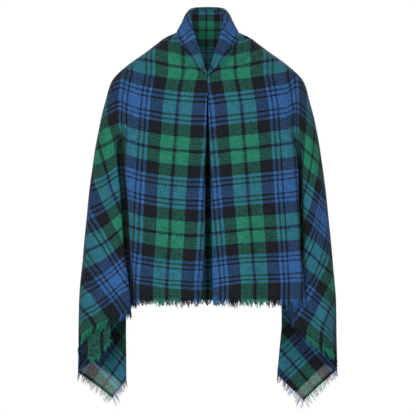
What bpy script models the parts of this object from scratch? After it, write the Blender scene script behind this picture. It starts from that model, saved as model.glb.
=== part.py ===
"""Fringed tartan poncho, hanging as it is worn: one square of brushed cloth slit up the front.

Lengths are millimetres until the solids are made.  +Z up, the front faces -Y, +X is the
wearer's left.  The origin is the point between the shoulders where the wearer holds it up.
"""
import math

import bpy
import numpy as np

for old in list(bpy.data.objects):
    bpy.data.objects.remove(old, do_unlink=True)

MM = 0.001
WALL = 2.0            # cloth wall
SEAM = 0.25           # every stretch stops this far short of its seam line
LIE = WALL + 0.5      # a stretch that lies on another keeps this between the middles of the walls
FRINGE_REACH = 15.0   # length of the fringe
FRINGE_WALL = 1.6
NECK_TOP = -90.0      # below this height the rings are level; above it they run up to the neck
HEM = -581.0          # hem of the front and back panels

# Half width of the garment and its depth before and behind the shoulders' plane, by height.
GIRTH = [  # height, half width, depth in front, depth behind
    (30.0, 67.0, 42.0, 58.0),
    (22.0, 89.0, 47.0, 64.0),
    (5.0, 114.0, 58.0, 75.0),
    (-14.0, 140.0, 70.0, 85.0),
    (-32.0, 165.0, 79.0, 93.0),
    (-50.0, 188.0, 86.0, 99.0),
    (-68.0, 208.0, 91.0, 104.0),
    (-80.0, 217.5, 94.0, 106.0),
    (-90.0, 222.0, 96.0, 108.0),
    (-123.0, 231.0, 103.0, 111.0),
    (-160.0, 241.0, 109.0, 113.0),
    (-200.0, 249.0, 112.0, 113.0),
    (-270.0, 261.0, 115.0, 111.0),
    (-360.0, 272.0, 115.0, 108.0),
    (-470.0, 283.0, 114.0, 106.0),
    (-580.0, 291.0, 112.0, 104.0),
    (-650.0, 294.0, 106.0, 98.0),
    (-725.0, 297.0, 98.0, 90.0),
    (-815.0, 299.0, 92.0, 84.0),
]
# The valley between a front panel and the sleeve: where the panel's edge, the valley's floor
# and the sleeve's inner lip stand, how far the floor sinks and how far forward edge and lip are.
VALLEY_RIGHT = [  # height, panel edge, floor, sleeve lip, sink, edge share, lip share
    (-90.0, 150.0, 168.0, 184.0, 0.0, 1.0, 1.0),
    (-140.0, 168.0, 181.0, 193.0, 0.0, 1.0, 1.0),
    (-192.0, 183.0, 194.0, 203.0, 9.0, 0.97, 0.96),
    (-235.0, 184.0, 205.0, 205.0, 44.0, 0.93, 0.90),
    (-283.0, 183.0, 211.0, 204.0, 62.0, 0.90, 0.84),
    (-328.0, 178.0, 210.0, 199.0, 68.0, 0.90, 0.82),
    (-374.0, 174.0, 208.0, 196.0, 70.0, 0.89, 0.81),
    (-465.0, 170.0, 202.0, 189.0, 70.0, 0.87, 0.79),
    (-545.0, 161.0, 193.0, 178.0, 66.0, 0.85, 0.77),
    (-600.0, 156.0, 189.0, 173.0, 62.0, 0.84, 0.76),
    (-815.0, 156.0, 190.0, 176.0, 56.0, 0.84, 0.76),
]
VALLEY_LEFT = [  # height, panel edge, floor, sleeve lip, sink, edge share, lip share
    (-90.0, 150.0, 168.0, 184.0, 0.0, 1.0, 1.0),
    (-140.0, 170.0, 183.0, 196.0, 0.0, 1.0, 1.0),
    (-192.0, 187.0, 195.0, 206.0, 9.0, 0.98, 0.94),
    (-235.0, 199.0, 196.0, 212.0, 36.0, 0.96, 0.84),
    (-283.0, 203.0, 193.0, 216.0, 56.0, 0.95, 0.76),
    (-328.0, 204.0, 191.0, 218.0, 64.0, 0.94, 0.73),
    (-374.0, 206.0, 189.0, 219.0, 66.0, 0.94, 0.71),
    (-465.0, 210.0, 186.0, 219.0, 66.0, 0.93, 0.66),
    (-545.0, 217.0, 178.0, 210.0, 62.0, 0.93, 0.60),
    (-600.0, 221.0, 171.0, 198.0, 58.0, 0.92, 0.58),
    (-815.0, 221.0, 171.0, 198.0, 52.0, 0.92, 0.58),
]
VALLEY_BACK = [  # height, panel edge, floor, sleeve lip, sink
    (-90.0, 150.0, 168.0, 184.0, 0.0),
    (-192.0, 178.0, 190.0, 202.0, 4.0),
    (-283.0, 180.0, 193.0, 206.0, 12.0),
    (-465.0, 184.0, 198.0, 211.0, 17.0),
    (-600.0, 184.0, 200.0, 214.0, 15.0),
    (-815.0, 184.0, 200.0, 214.0, 14.0),
]
# The slit's edge off the middle, by height.
SLIT_RIGHT = [(-60.0, 0.45), (-112.0, 0.45), (-165.0, 2.0), (-214.0, 3.6), (-262.0, 5.7),
              (-400.0, 6.8), (-490.0, 9.0), (-535.0, 11.5), (-581.0, 17.0), (-620.0, 20.0)]
SLIT_LEFT = [(-60.0, 0.45), (-112.0, 0.45), (-165.0, 2.0), (-214.0, 4.2), (-262.0, 6.4),
             (-330.0, 8.0), (-440.0, 10.2), (-520.0, 11.4), (-581.0, 12.6), (-620.0, 13.0)]
# Stations round one side's ring: 0 slit, 3 panel edge, 5 valley floor, 7 sleeve lip, 8 crown,
# 10 outer side, 12 back crown, 14 back valley floor, 17 middle of the back.
HEM_RIGHT = [(0.0, HEM), (3.0, HEM), (5.0, -590.0), (6.0, -597.0), (7.0, -608.0), (7.7, -624.0),
             (8.0, -635.0), (9.0, -660.0), (10.0, -688.0), (11.0, -674.0), (12.0, -652.0),
             (13.0, -624.0), (14.0, -602.0), (15.0, HEM), (17.0, HEM)]
HEM_LEFT = [(0.0, HEM), (3.0, HEM - 2.0), (5.0, -604.0), (7.0, -634.0), (8.0, -678.0), (9.0, -706.0),
            (10.0, -726.0), (11.0, -704.0), (12.0, -668.0), (13.0, -632.0), (14.0, -600.0),
            (15.0, HEM), (17.0, HEM)]
# The neck edge of the shoulders' cloth by station: sideways and height.
NECK = [(0.0, 1.0, -68.0), (1.0, 11.0, -59.0), (2.0, 23.0, -50.0), (3.0, 34.0, -37.0),
        (4.0, 39.5, -28.5), (5.0, 44.0, -20.0), (6.0, 48.5, -11.5), (7.0, 53.0, -3.0),
        (8.0, 59.0, 8.5), (9.0, 64.0, 20.0), (10.0, 67.0, 30.0), (11.0, 64.5, 30.0),
        (12.0, 58.0, 27.0), (13.0, 50.5, 23.0), (14.0, 43.0, 20.0), (15.0, 34.0, 17.0),
        (16.0, 18.0, 13.5), (17.0, 0.0, 12.0)]
# The roll's top edge by station: sideways, depth, height.
ROLL = [(0.0, 3.6, -97.0, -58.0), (1.0, 10.0, -94.0, -41.0), (2.0, 16.0, -87.0, -20.0),
        (3.0, 21.0, -78.0, -3.0), (5.0, 29.0, -63.0, 22.0), (7.0, 36.0, -45.0, 46.0),
        (8.0, 39.2, -31.0, 57.0), (9.0, 42.2, -14.0, 69.0), (10.0, 43.5, 5.0, 77.0),
        (12.0, 39.0, 25.0, 84.5), (14.0, 28.0, 39.0, 87.5), (17.0, 0.0, 49.0, 89.0)]


def smooth(stations, values, at):
    """Cubic through the rows of a table; flat beyond its ends."""
    xs = np.asarray(stations, float)
    ys = np.asarray(values, float)
    if xs[0] > xs[-1]:
        xs, ys = xs[::-1], ys[::-1]
    at = np.clip(np.asarray(at, float), xs[0], xs[-1])
    step = np.diff(xs)
    rise = np.diff(ys) / step
    slope = np.empty_like(xs)
    slope[0], slope[-1] = rise[0], rise[-1]
    slope[1:-1] = (rise[:-1] * step[1:] + rise[1:] * step[:-1]) / (step[:-1] + step[1:])
    k = np.clip(np.searchsorted(xs, at, side="right") - 1, 0, len(step) - 1)
    f = (at - xs[k]) / step[k]
    return ((1 + 2 * f) * (1 - f) ** 2 * ys[k] + f * (1 - f) ** 2 * step[k] * slope[k]
            + f * f * (3 - 2 * f) * ys[k + 1] - f * f * (1 - f) * step[k] * slope[k + 1])


def column(table, name, at):
    """One named column of a table, read smoothly at a station."""
    return smooth([row[0] for row in table], [row[name] for row in table], at)


def roundness(height):
    """How square the ring is: round at the shoulders, fuller below."""
    return float(np.interp(height, [-300.0, -90.0], [2.8, 2.3]))


def depth(across, height, behind):
    """The cloth's depth at a point of its outline seen from the front."""
    half = float(column(GIRTH, 1, height))
    full = float(column(GIRTH, 3 if behind else 2, height))
    power = roundness(height)
    ratio = min(1.0, abs(across) / half)
    value = full * max(0.0, 1.0 - ratio ** power) ** (1.0 / power)
    return value if behind else -value


def ring(side, height):
    """Control points of one side's level ring, from the slit round to the back's middle."""
    valley = VALLEY_RIGHT if side == "right" else VALLEY_LEFT
    slit = SLIT_RIGHT if side == "right" else SLIT_LEFT
    half = float(column(GIRTH, 1, height))
    ease = float(np.interp(height, [-300.0, -170.0], [1.0, 0.0]))
    edge, floor, lip, sink, e_share, l_share = (float(column(valley, k, height)) for k in range(1, 7))
    start = float(column(slit, 1, height))
    b_edge, b_floor, b_lip, b_sink = (float(column(VALLEY_BACK, k, height)) for k in (1, 2, 3, 4))
    gap = 4.5 * min(1.0, sink / 40.0)

    def front(x, share=1.0):
        return np.array([x, depth(x, height, False) * share])

    def back(x, share):
        return np.array([x, depth(x, height, True) * (1.0 - ease * (1.0 - share))])

    p_edge, p_lip = front(edge, e_share), front(lip, l_share)
    p_floor = front(floor)
    p_floor[1] = min(-6.0, p_floor[1] * (1.0 - 0.16 * ease) + sink)
    p_wall = p_edge + (p_floor - p_edge) * (0.62, 0.55) - (gap, 0.0)
    s_wall = p_lip + (p_floor - p_lip) * (0.62, 0.55) + (gap, 0.0)
    b_out = half - 0.13 * (half - b_lip)
    p_back = back(b_floor, 0.86) - (0.0, b_sink)
    return [front(start),
            front(start + (edge - start) * 0.36),
            front(start + (edge - start) * 0.70, 1.0 - 0.4 * (1.0 - e_share)),
            p_edge, p_wall, p_floor, s_wall, p_lip,
            front(lip + 0.48 * (half - lip), 1.0 - 0.09 * ease),
            front(half - 0.13 * (half - lip), 1.0 - 0.02 * ease),
            np.array([half, -4.0 * ease]),
            back(b_out, 0.96),
            back(b_lip + 0.50 * (half - b_lip), 0.90),
            back(b_lip, 0.86),
            p_back,
            back(b_edge, 0.93),
            back(b_edge * 0.55, 0.99),
            back(0.0, 1.0)]


def along(points, t):
    """A point at station t of a smooth line through control points."""
    pts = np.asarray(points, float)
    chord = np.maximum(np.linalg.norm(np.diff(pts, axis=0), axis=1), 1e-6)
    unit = np.diff(pts, axis=0) / chord[:, None]
    slope = np.empty_like(pts)
    slope[0], slope[-1] = unit[0], unit[-1]
    w0, w1 = chord[1:, None], chord[:-1, None]
    slope[1:-1] = (unit[:-1] * w0 + unit[1:] * w1) / (w0 + w1)
    k = int(min(max(math.floor(t), 0), len(pts) - 2))
    f = min(max(t - k, 0.0), 1.0)
    d = chord[k]
    return ((1 + 2 * f) * (1 - f) ** 2 * pts[k] + f * (1 - f) ** 2 * d * slope[k]
            + f * f * (3 - 2 * f) * pts[k + 1] - f * f * (1 - f) * d * slope[k + 1])


def level(side, t, height):
    """A point of a level ring, wearer's left positive."""
    x, y = along(ring(side, height), t)
    if t >= 17.0:
        x = 0.0
    return np.array([x, y, height])


def yoke(side, t, s):
    """A point between the neck edge (s = 0) and the first level ring (s = 1)."""
    nx, nz = float(column(NECK, 1, t)), float(column(NECK, 2, t))
    low = level(side, t, NECK_TOP)
    ridge = 30.0 + (NECK_TOP - 30.0) * s
    bulge = float(column(GIRTH, 1, ridge)) - (67.0 + (222.0 - 67.0) * s)
    near = 1.0 - min(1.0, abs(t - 10.0) / (10.0 if t < 10.0 else 7.0))
    x = nx + (low[0] - nx) * s + bulge * near ** 1.5
    z = nz + (NECK_TOP - nz) * s
    y = depth(x, z, t > 10.0) if abs(t - 10.0) > 1e-6 else 0.0
    share = s ** 4
    return np.array([x, y * (1.0 - share) + low[1] * share, z])


def mirror(points, side):
    """The right side is worked out like the left, then turned over."""
    out = np.array(points, float)
    if side == "right":
        out[..., 0] *= -1.0
    return out


def sheet(side, stations, rows_top, rows_low, hem):
    """Middle surface of one side's cloth from the neck edge to the hem."""
    grid = []
    for s in rows_top:
        grid.append([yoke(side, t, s) for t in stations])
    for q in rows_low:
        line = []
        for t in stations:
            foot = float(np.interp(t, [r[0] for r in hem], [r[1] for r in hem]))
            line.append(level(side, t, NECK_TOP + q * (foot - NECK_TOP)))
        grid.append(line)
    return np.array(grid)


def normals(grid):
    """Unit normals of a grid of points."""
    du = np.gradient(grid, axis=1)
    dv = np.gradient(grid, axis=0)
    n = np.cross(du, dv)
    return n / np.maximum(np.linalg.norm(n, axis=2, keepdims=True), 1e-9)


def pull(grid, sides, by=SEAM):
    """Draw named borders of a grid in from their seam lines."""
    out = grid.copy()
    for name in sides:
        if name == "first":
            d = out[:, 1] - out[:, 0]
            out[:, 0] += by * d / np.linalg.norm(d, axis=1, keepdims=True)
        elif name == "last":
            d = out[:, -2] - out[:, -1]
            out[:, -1] += by * d / np.linalg.norm(d, axis=1, keepdims=True)
        elif name == "top":
            d = out[1] - out[0]
            out[0] += by * d / np.linalg.norm(d, axis=1, keepdims=True)
        elif name == "foot":
            d = out[-2] - out[-1]
            out[-1] += by * d / np.linalg.norm(d, axis=1, keepdims=True)
    return out


def principled(name, colour, rough=0.9):
    mat = bpy.data.materials.new(name)
    mat.use_nodes = True
    bsdf = mat.node_tree.nodes["Principled BSDF"]
    bsdf.inputs["Base Color"].default_value = (*colour, 1.0)
    bsdf.inputs["Roughness"].default_value = rough
    mat.diffuse_color = (*colour, 1.0)
    return mat


def solid(name, grid, wall, colour, facing=None):
    """Close a middle surface into a thin solid, facing out."""
    grid = np.asarray(grid, float)
    n = normals(grid) if facing is None else facing
    rows, cols = grid.shape[:2]
    faces = []
    over = (grid + n * wall / 2.0).reshape(-1, 3)
    under = (grid - n * wall / 2.0).reshape(-1, 3)
    count = rows * cols

    def at(i, j, layer):
        return i * cols + j + layer * count

    for i in range(rows - 1):
        for j in range(cols - 1):
            faces.append((at(i, j, 0), at(i, j + 1, 0), at(i + 1, j + 1, 0), at(i + 1, j, 0)))
            faces.append((at(i, j, 1), at(i + 1, j, 1), at(i + 1, j + 1, 1), at(i, j + 1, 1)))
    rim = ([(0, j) for j in range(cols - 1)] + [(i, cols - 1) for i in range(rows - 1)]
           + [(rows - 1, j) for j in range(cols - 1, 0, -1)] + [(i, 0) for i in range(rows - 1, 0, -1)])
    for k, (i, j) in enumerate(rim):
        i2, j2 = rim[(k + 1) % len(rim)]
        faces.append((at(i2, j2, 0), at(i, j, 0), at(i, j, 1), at(i2, j2, 1)))
    verts = np.vstack([over, under]) * MM
    volume = 0.0
    for f in faces:
        a, b, c, d = (verts[k] for k in f)
        volume += np.dot(a, np.cross(b, c)) + np.dot(a, np.cross(c, d))
    if volume < 0.0:
        faces = [tuple(reversed(f)) for f in faces]
    mesh = bpy.data.meshes.new(name)
    mesh.from_pydata([tuple(v) for v in verts], [], faces)
    mesh.validate()
    mesh.update()
    ob = bpy.data.objects.new(name, mesh)
    bpy.context.collection.objects.link(ob)
    ob.data.materials.append(principled(name + "_cloth", colour))
    return ob


GREEN = (0.030, 0.095, 0.070)
BLUE = (0.040, 0.085, 0.190)
DARK = (0.020, 0.028, 0.040)

ROWS_TOP = [0.0, 0.14, 0.30, 0.48, 0.66, 0.84]
ROWS_LOW = [0.0, 0.08, 0.17, 0.27, 0.38, 0.50, 0.62, 0.74, 0.86, 0.95, 1.0]
SIDE_AT = [0.0, 0.5, 1.0, 1.5, 2.0, 2.5, 3.0, 3.4, 4.0, 4.6, 5.0, 5.4, 6.0, 6.6, 7.0, 7.35, 7.7,
           8.1, 8.6, 9.0, 9.35, 9.7, 10.0, 10.3, 10.65, 11.0, 11.5, 12.0, 12.5, 13.0, 13.5, 14.0,
           14.5, 15.0, 15.5, 16.0, 16.5, 17.0]
FLOOR, OUTER, BACK_FLOOR = SIDE_AT.index(5.0), SIDE_AT.index(10.0), SIDE_AT.index(14.0)

hems = {"right": HEM_RIGHT, "left": HEM_LEFT}
grids, facings = {}, {}


def whole(maker):
    """Both sides' grids joined across the back, slit to slit."""
    right = mirror(maker("right"), "right")
    left = maker("left")
    return np.concatenate([right, left[:, -2::-1]], axis=1)


def cut(names, grid, seams, by=SEAM, n=None):
    """Part a slit-to-slit grid into its stretches at the seams, the same on both sides."""
    n = normals(grid) if n is None else n
    end = grid.shape[1] - 1
    marks = [0, *seams, *(end - k for k in reversed(seams)), end]
    for k, name in enumerate(names):
        piece = slice(marks[k], marks[k + 1] + 1)
        sides = ["first"] * (k > 0) + ["last"] * (k < len(names) - 1)
        grids[name] = pull(grid[:, piece], sides, by)
        facings[name] = n[:, piece]
    return n


def hem_line(side):
    """Heights of one side's hem by station, and how much each part of it slants."""
    hem = hems[side]
    foot = np.interp(SIDE_AT, [r[0] for r in hem], [r[1] for r in hem])
    line = np.array([level(side, t, z) for t, z in zip(SIDE_AT, foot)])
    run = np.gradient(line, axis=0)
    slant = np.linalg.norm(run, axis=1) / np.maximum(np.linalg.norm(run[:, :2], axis=1), 0.25)
    return foot, np.minimum(slant, 4.0)


def fringe(side):
    """The reach of the fringe below one side's hem."""
    foot, slant = hem_line(side)
    grid = []
    for drop in (0.72, FRINGE_REACH * 0.5, FRINGE_REACH):
        gap = drop * slant * (0.7 + 0.3 * slant) if drop < 1.0 else np.full(len(foot), drop)
        grid.append([level(side, t, z - g) for t, z, g in zip(SIDE_AT, foot, gap)])
    return np.array(grid)


faced = cut(["front_right", "sleeve_right_front", "sleeve_right_back", "back", "sleeve_left_back",
             "sleeve_left_front", "front_left"],
            whole(lambda side: sheet(side, SIDE_AT, ROWS_TOP, ROWS_LOW, hems[side])),
            [FLOOR, OUTER, BACK_FLOOR])
cut(["fringe_front_right", "fringe_sleeve_right", "fringe_back", "fringe_sleeve_left",
     "fringe_front_left"], whole(fringe), [FLOOR, BACK_FLOOR], 0.4, np.repeat(faced[-1:], 3, axis=0))


# ---- the hanging corners: cloth that runs on round the outer side inside the sleeve's mouth ----
CORNER_TOP = -572.0
CORNER = {  # inner edge at the top and foot, tip, and the heights where the hem meets outline and edge
    "right": {"edge_top": 187.0, "edge_low": 186.0, "tip": (218.0, -803.0),
              "at_outline": -742.0, "at_edge": -757.0},
    "left": {"edge_top": 170.0, "edge_low": 160.0, "tip": (221.0, -809.0),
             "at_outline": -736.0, "at_edge": -746.0},
}
CORNER_AT = [0.0, 0.5, 1.0, 1.6, 2.2, 2.8, 3.3, 3.8, 4.4, 5.0, 5.4, 5.8]


def inward(side, t, height, by):
    """A point held a set distance inside a level ring."""
    here = level(side, t, height)
    step = level(side, t + 0.02, height) - level(side, t - 0.02, height)
    out = np.array([-step[1], step[0], 0.0])
    out /= np.linalg.norm(out)
    inner = here + out * by
    if np.hypot(inner[0] - 235.0, inner[1]) > np.hypot(here[0] - 235.0, here[1]):
        inner = here - out * by
    return inner


def corner_line(side, height):
    """Control points of the corner's level line, from the outer side round to its inner edge."""
    c = CORNER[side]
    edge = float(np.interp(height, [-745.0, -640.0], [c["edge_low"], c["edge_top"]]))
    p0 = inward(side, 9.75, height, LIE + 0.35)[:2]
    p1 = inward(side, 10.15, height, LIE + 0.35)[:2]
    span = p1[0] - edge
    return [p0, p1, (edge + span * 0.80, 33.0), (edge + span * 0.48, 46.0),
            (edge + span * 0.20, 40.0), (edge, 24.0), (edge + 7.0, 36.0)]


def corner_foot(side, x):
    """Height of the corner's free edge under a point across."""
    c = CORNER[side]
    xs = [c["edge_low"] - 2.0, c["tip"][0], 296.0]
    return float(np.interp(x, xs, [c["at_edge"], c["tip"][1], c["at_outline"]]))


def corner_stations(side):
    """Stations across the corner, one of them at its tip."""
    line = corner_line(side, -720.0)
    low, high = 1.5, 4.8
    for _ in range(40):
        mid = 0.5 * (low + high)
        if along(line, mid)[0] > CORNER[side]["tip"][0]:
            low = mid
        else:
            high = mid
    at = [c / 5.8 * 6.0 for c in CORNER_AT]
    near = min(range(len(at)), key=lambda k: abs(at[k] - low))
    at[near] = low
    return at


def corner(side, rows, start, reach=None):
    """Middle surface of the corner, or of the fringe below it."""
    grid = []
    stations = corner_stations(side)
    for q in rows:
        line = []
        for c in stations[:-3] if reach else stations:
            x = along(corner_line(side, -720.0), c)[0]
            foot = corner_foot(side, x)
            z = foot - q * reach - start if reach else start + q * (foot - start)
            x, y = along(corner_line(side, z), c)
            line.append((x, y, z))
        grid.append(line)
    return np.array(grid)


CORNER_ROWS = [0.0, 0.2, 0.4, 0.6, 0.8, 1.0]
for side in ("right", "left"):
    cloth = mirror(corner(side, CORNER_ROWS, CORNER_TOP), side)
    below = mirror(corner(side, [0.0, 0.5, 1.0], 0.95, FRINGE_REACH), side)
    n = normals(cloth)
    grids["corner_" + side], facings["corner_" + side] = cloth, n
    grids["fringe_corner_" + side] = below
    facings["fringe_corner_" + side] = np.repeat(n[-1:, :below.shape[1]], 3, axis=0)

# ---- the small second fold under the right sleeve's hem ----
PLEAT_AT = [7.85, 8.1, 8.4, 8.7, 9.0, 9.25, 9.5]
PLEAT_FOOT = [(7.85, -664.0), (8.1, -684.0), (8.5, -708.0), (9.0, -704.0), (9.5, -696.0)]


def pleat(drops):
    grid = []
    for kind, q in drops:
        line = []
        for t in PLEAT_AT:
            foot = float(np.interp(t, [r[0] for r in PLEAT_FOOT], [r[1] for r in PLEAT_FOOT]))
            z = -600.0 + q * (foot + 600.0) if kind == "cloth" else foot - q
            by = LIE + 0.5 + 7.0 * min(1.0, max(0.0, (-612.0 - z) / 50.0))
            line.append(inward("right", t, z, by))
        grid.append(line)
    return np.array(grid)


grids["pleat_right"] = mirror(pleat([("cloth", q) for q in (0.0, 0.2, 0.45, 0.7, 1.0)]), "right")
grids["fringe_pleat_right"] = mirror(pleat([("fringe", q) for q in (0.75, 7.0, 14.0)]), "right")

# ---- the collar: the slit's edges rolled out round the neck ----


def collar(side, stations, steps):
    """Middle surface of the roll: base on the shoulder, belly, top edge, a short way down inside."""
    grid = []
    for t in stations:
        here = yoke(side, t, 0.015)
        du = yoke(side, min(t + 0.05, 17.0), 0.015) - yoke(side, max(t - 0.05, 0.0), 0.015)
        dv = yoke(side, t, 0.045) - here
        n = np.cross(du, dv)
        n /= np.linalg.norm(n)
        if np.dot(n, here - np.array([0.0, 0.0, -60.0])) < 0.0:
            n = -n
        top = np.array([float(column(ROLL, k, t)) for k in (1, 2, 3)])
        out = np.array([top[0], top[1], 0.0])
        out /= np.linalg.norm(out)
        up = np.array([0.0, 0.0, 1.0])
        base = here + n * (LIE + 0.1 + 2.8 * max(0.0, 1.0 - abs(t - 9.4) / 2.2))
        base -= out * 2.2 * max(0.0, 1.0 - abs(t - 9.8) / 2.4)
        belly = 0.55 * base + 0.45 * top + out * 1.2
        line = [base, belly, top + out * 4.0 - up * 3.5, top, top - out * 4.0 - up * 5.0]
        grid.append([along(line, f) for f in steps])
    return np.array(grid).transpose(1, 0, 2)


COLLAR_STEPS = [0.0, 0.5, 1.0, 1.5, 2.0, 2.5, 3.0, 3.5, 4.0]
COLLAR_AT = [0.0, 1.0, 2.0, 3.0, 4.5, 6.0, 7.5, 8.5, 9.25, 10.0, 11.0, 12.0, 13.0, 14.0, 15.5, 17.0]
SPLIT = COLLAR_AT.index(12.0)
roll = whole(lambda side: collar(side, COLLAR_AT, COLLAR_STEPS))
roll_n = normals(roll)
last = roll.shape[1] - 1
for name, first, final, ends in (("collar_right", 0, SPLIT, ("last",)),
                                 ("collar_back", SPLIT, last - SPLIT, ("first", "last")),
                                 ("collar_left", last - SPLIT, last, ("first",))):
    grids[name] = pull(roll[:, first:final + 1], ends)
    facings[name] = roll_n[:, first:final + 1]

# The cloth turned in behind the neck, hanging down inside the collar.
INSIDE_AT = [7.5, 9.0, 10.5, 12.0, 14.0, 15.5, 17.0]
INSIDE_FOOT = [(7.5, 30.0), (9.0, 26.0), (10.5, 4.0), (12.0, -30.0), (14.0, -56.0), (17.0, -64.0)]


def inside(side):
    grid = []
    for q in (0.0, 0.18, 0.4, 0.65, 1.0):
        line = []
        for t in INSIDE_AT:
            top = np.array([float(column(ROLL, k, t)) for k in (1, 2, 3)])
            out = np.array([top[0], top[1], 0.0])
            out /= np.linalg.norm(out)
            start = top - out * 4.8 - np.array([0.0, 0.0, 5.9])
            foot = float(column(INSIDE_FOOT, 1, t))
            lean = out * (-2.5 * min(1.0, q * 5.0) + 12.0 * q * q)
            line.append(np.array([start[0], start[1], start[2] + q * (foot - start[2])]) + lean)
        grid.append(line)
    return np.array(grid)


grids["collar_inside"] = whole(inside)

COLOURS = {"front": GREEN, "sleeve": GREEN, "back": GREEN, "corner": BLUE, "pleat": DARK,
           "collar": BLUE, "fringe": DARK}
for name, grid in grids.items():
    wall = FRINGE_WALL if name.startswith("fringe") else WALL
    solid(name, grid, wall, COLOURS[name.split("_")[0]], facings.get(name))
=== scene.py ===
"""Looks of the fringed tartan poncho, worn open at the front with no wearer.

Lengths in the shape's tables are millimetres.  +Z up, the front faces -Y, +X is the wearer's
left, and the origin is the point between the shoulders.  Cloth coordinates count the tartan's
repeats: across from the slit, and up from the hem.
"""
import math

import bmesh
import bpy
import numpy as np
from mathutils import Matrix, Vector


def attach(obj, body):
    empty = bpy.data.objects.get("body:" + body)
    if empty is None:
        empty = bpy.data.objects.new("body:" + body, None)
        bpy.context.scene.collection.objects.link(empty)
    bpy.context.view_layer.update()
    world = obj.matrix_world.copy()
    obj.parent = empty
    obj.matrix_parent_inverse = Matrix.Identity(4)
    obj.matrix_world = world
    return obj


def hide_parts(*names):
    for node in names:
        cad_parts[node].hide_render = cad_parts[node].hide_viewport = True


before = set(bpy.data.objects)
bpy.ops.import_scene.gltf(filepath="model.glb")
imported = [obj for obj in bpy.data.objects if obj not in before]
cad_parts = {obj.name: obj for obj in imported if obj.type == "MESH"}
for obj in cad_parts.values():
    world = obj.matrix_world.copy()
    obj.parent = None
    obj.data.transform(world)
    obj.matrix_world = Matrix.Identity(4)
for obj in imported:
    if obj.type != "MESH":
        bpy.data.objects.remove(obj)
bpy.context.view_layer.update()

bl_info = {
    "name": "Tartan poncho",
    "version": (1, 0, 0),
    "blender": (4, 5, 0),
    "location": "View3D > Sidebar > Poncho",
    "description": "Builds the poncho's cloth, collar, corners, pleat, fringe and stage",
    "category": "Object",
}

MM = 0.001
LIE = 2.5             # cloth that lies on cloth keeps this between the middles of the walls
NECK_TOP = -90.0      # below this height the rings are level; above it they run up to the neck
HEM = -581.0          # hem of the front and back panels
SETT = 191.5          # the tartan's repeat

GIRTH = [  # height, half width, depth in front, depth behind
    (30, 67, 42, 58),
    (22, 89, 47, 64),
    (5, 114, 58, 75),
    (-14, 140, 70, 85),
    (-32, 165, 79, 93),
    (-50, 188, 86, 99),
    (-68, 208, 91, 104),
    (-80, 217.5, 94, 106),
    (-90, 222, 96, 108),
    (-123, 231, 103, 111),
    (-160, 241, 109, 113),
    (-200, 249, 112, 113),
    (-270, 261, 115, 111),
    (-360, 272, 115, 108),
    (-470, 283, 114, 106),
    (-580, 291, 112, 104),
    (-650, 294, 106, 98),
    (-725, 297, 98, 90),
    (-815, 299, 92, 84),
]
VALLEY = {  # height, panel edge, floor, sleeve lip, sink, edge share, lip share
    "right": [
        (-90, 150, 168, 184, 0, 1, 1),
        (-140, 168, 181, 193, 0, 1, 1),
        (-192, 183, 194, 203, 9, 0.97, 0.96),
        (-235, 184, 205, 205, 44, 0.93, 0.90),
        (-283, 183, 211, 204, 62, 0.90, 0.84),
        (-328, 178, 210, 199, 68, 0.90, 0.82),
        (-374, 174, 208, 196, 70, 0.89, 0.81),
        (-465, 170, 202, 189, 70, 0.87, 0.79),
        (-545, 161, 193, 178, 66, 0.85, 0.77),
        (-600, 156, 189, 173, 62, 0.84, 0.76),
        (-815, 156, 190, 176, 56, 0.84, 0.76),
    ],
    "left": [
        (-90, 150, 168, 184, 0, 1, 1),
        (-140, 170, 183, 196, 0, 1, 1),
        (-192, 187, 195, 206, 9, 0.98, 0.94),
        (-235, 199, 196, 212, 36, 0.96, 0.84),
        (-283, 203, 193, 216, 56, 0.95, 0.76),
        (-328, 204, 191, 218, 64, 0.94, 0.73),
        (-374, 206, 189, 219, 66, 0.94, 0.71),
        (-465, 210, 186, 219, 66, 0.93, 0.66),
        (-545, 217, 178, 210, 62, 0.93, 0.60),
        (-600, 221, 171, 198, 58, 0.92, 0.58),
        (-815, 221, 171, 198, 52, 0.92, 0.58),
    ],
}
VALLEY_BACK = [  # height, panel edge, floor, sleeve lip, sink
    (-90, 150, 168, 184, 0),
    (-192, 178, 190, 202, 4),
    (-283, 180, 193, 206, 12),
    (-465, 184, 198, 211, 17),
    (-600, 184, 200, 214, 15),
    (-815, 184, 200, 214, 14),
]
SLIT = {  # height, edge off the middle
    "right": [(-60, 0.45), (-104, 0.45), (-134, 1.7), (-165, 2.6), (-214, 3.8), (-262, 5.7),
              (-400, 6.8), (-490, 9), (-535, 11.5), (-581, 17), (-620, 20)],
    "left": [(-60, 0.45), (-104, 0.45), (-134, 1.9), (-165, 3), (-214, 4.8), (-262, 6.6),
             (-330, 8), (-440, 10.2), (-520, 11.4), (-581, 12.6), (-620, 13)],
}
# Stations round one side: 0 slit, 3 panel edge, 5 valley floor, 7 sleeve lip, 8 crown,
# 10 outer fold, 12 back crown, 14 back valley floor, 17 middle of the back.
HEMS = {  # station, height
    "right": [(0, HEM), (3, HEM), (5, -590), (6, -597), (7, -608), (7.7, -624),
              (8, -635), (9, -660), (10, -688), (11, -674), (12, -652),
              (13, -624), (14, -602), (15, HEM), (17, HEM)],
    "left": [(0, HEM), (3, HEM - 2), (5, -604), (7, -634), (8, -678),
             (9, -706), (10, -726), (11, -704), (12, -668), (13, -632),
             (14, -600), (15, HEM), (17, HEM)],
}
NECK = [  # station, sideways, height
    (0, 1, -68), (1, 11, -59), (2, 23, -50), (3, 34, -37),
    (4, 39.5, -28.5), (5, 44, -20), (6, 48.5, -11.5), (7, 53, -3),
    (8, 59, 8.5), (9, 64, 20), (10, 67, 30), (11, 64.5, 30),
    (12, 58, 27), (13, 50.5, 23), (14, 43, 20), (15, 34, 17),
    (16, 18, 13.5), (17, 0, 12)]
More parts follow.
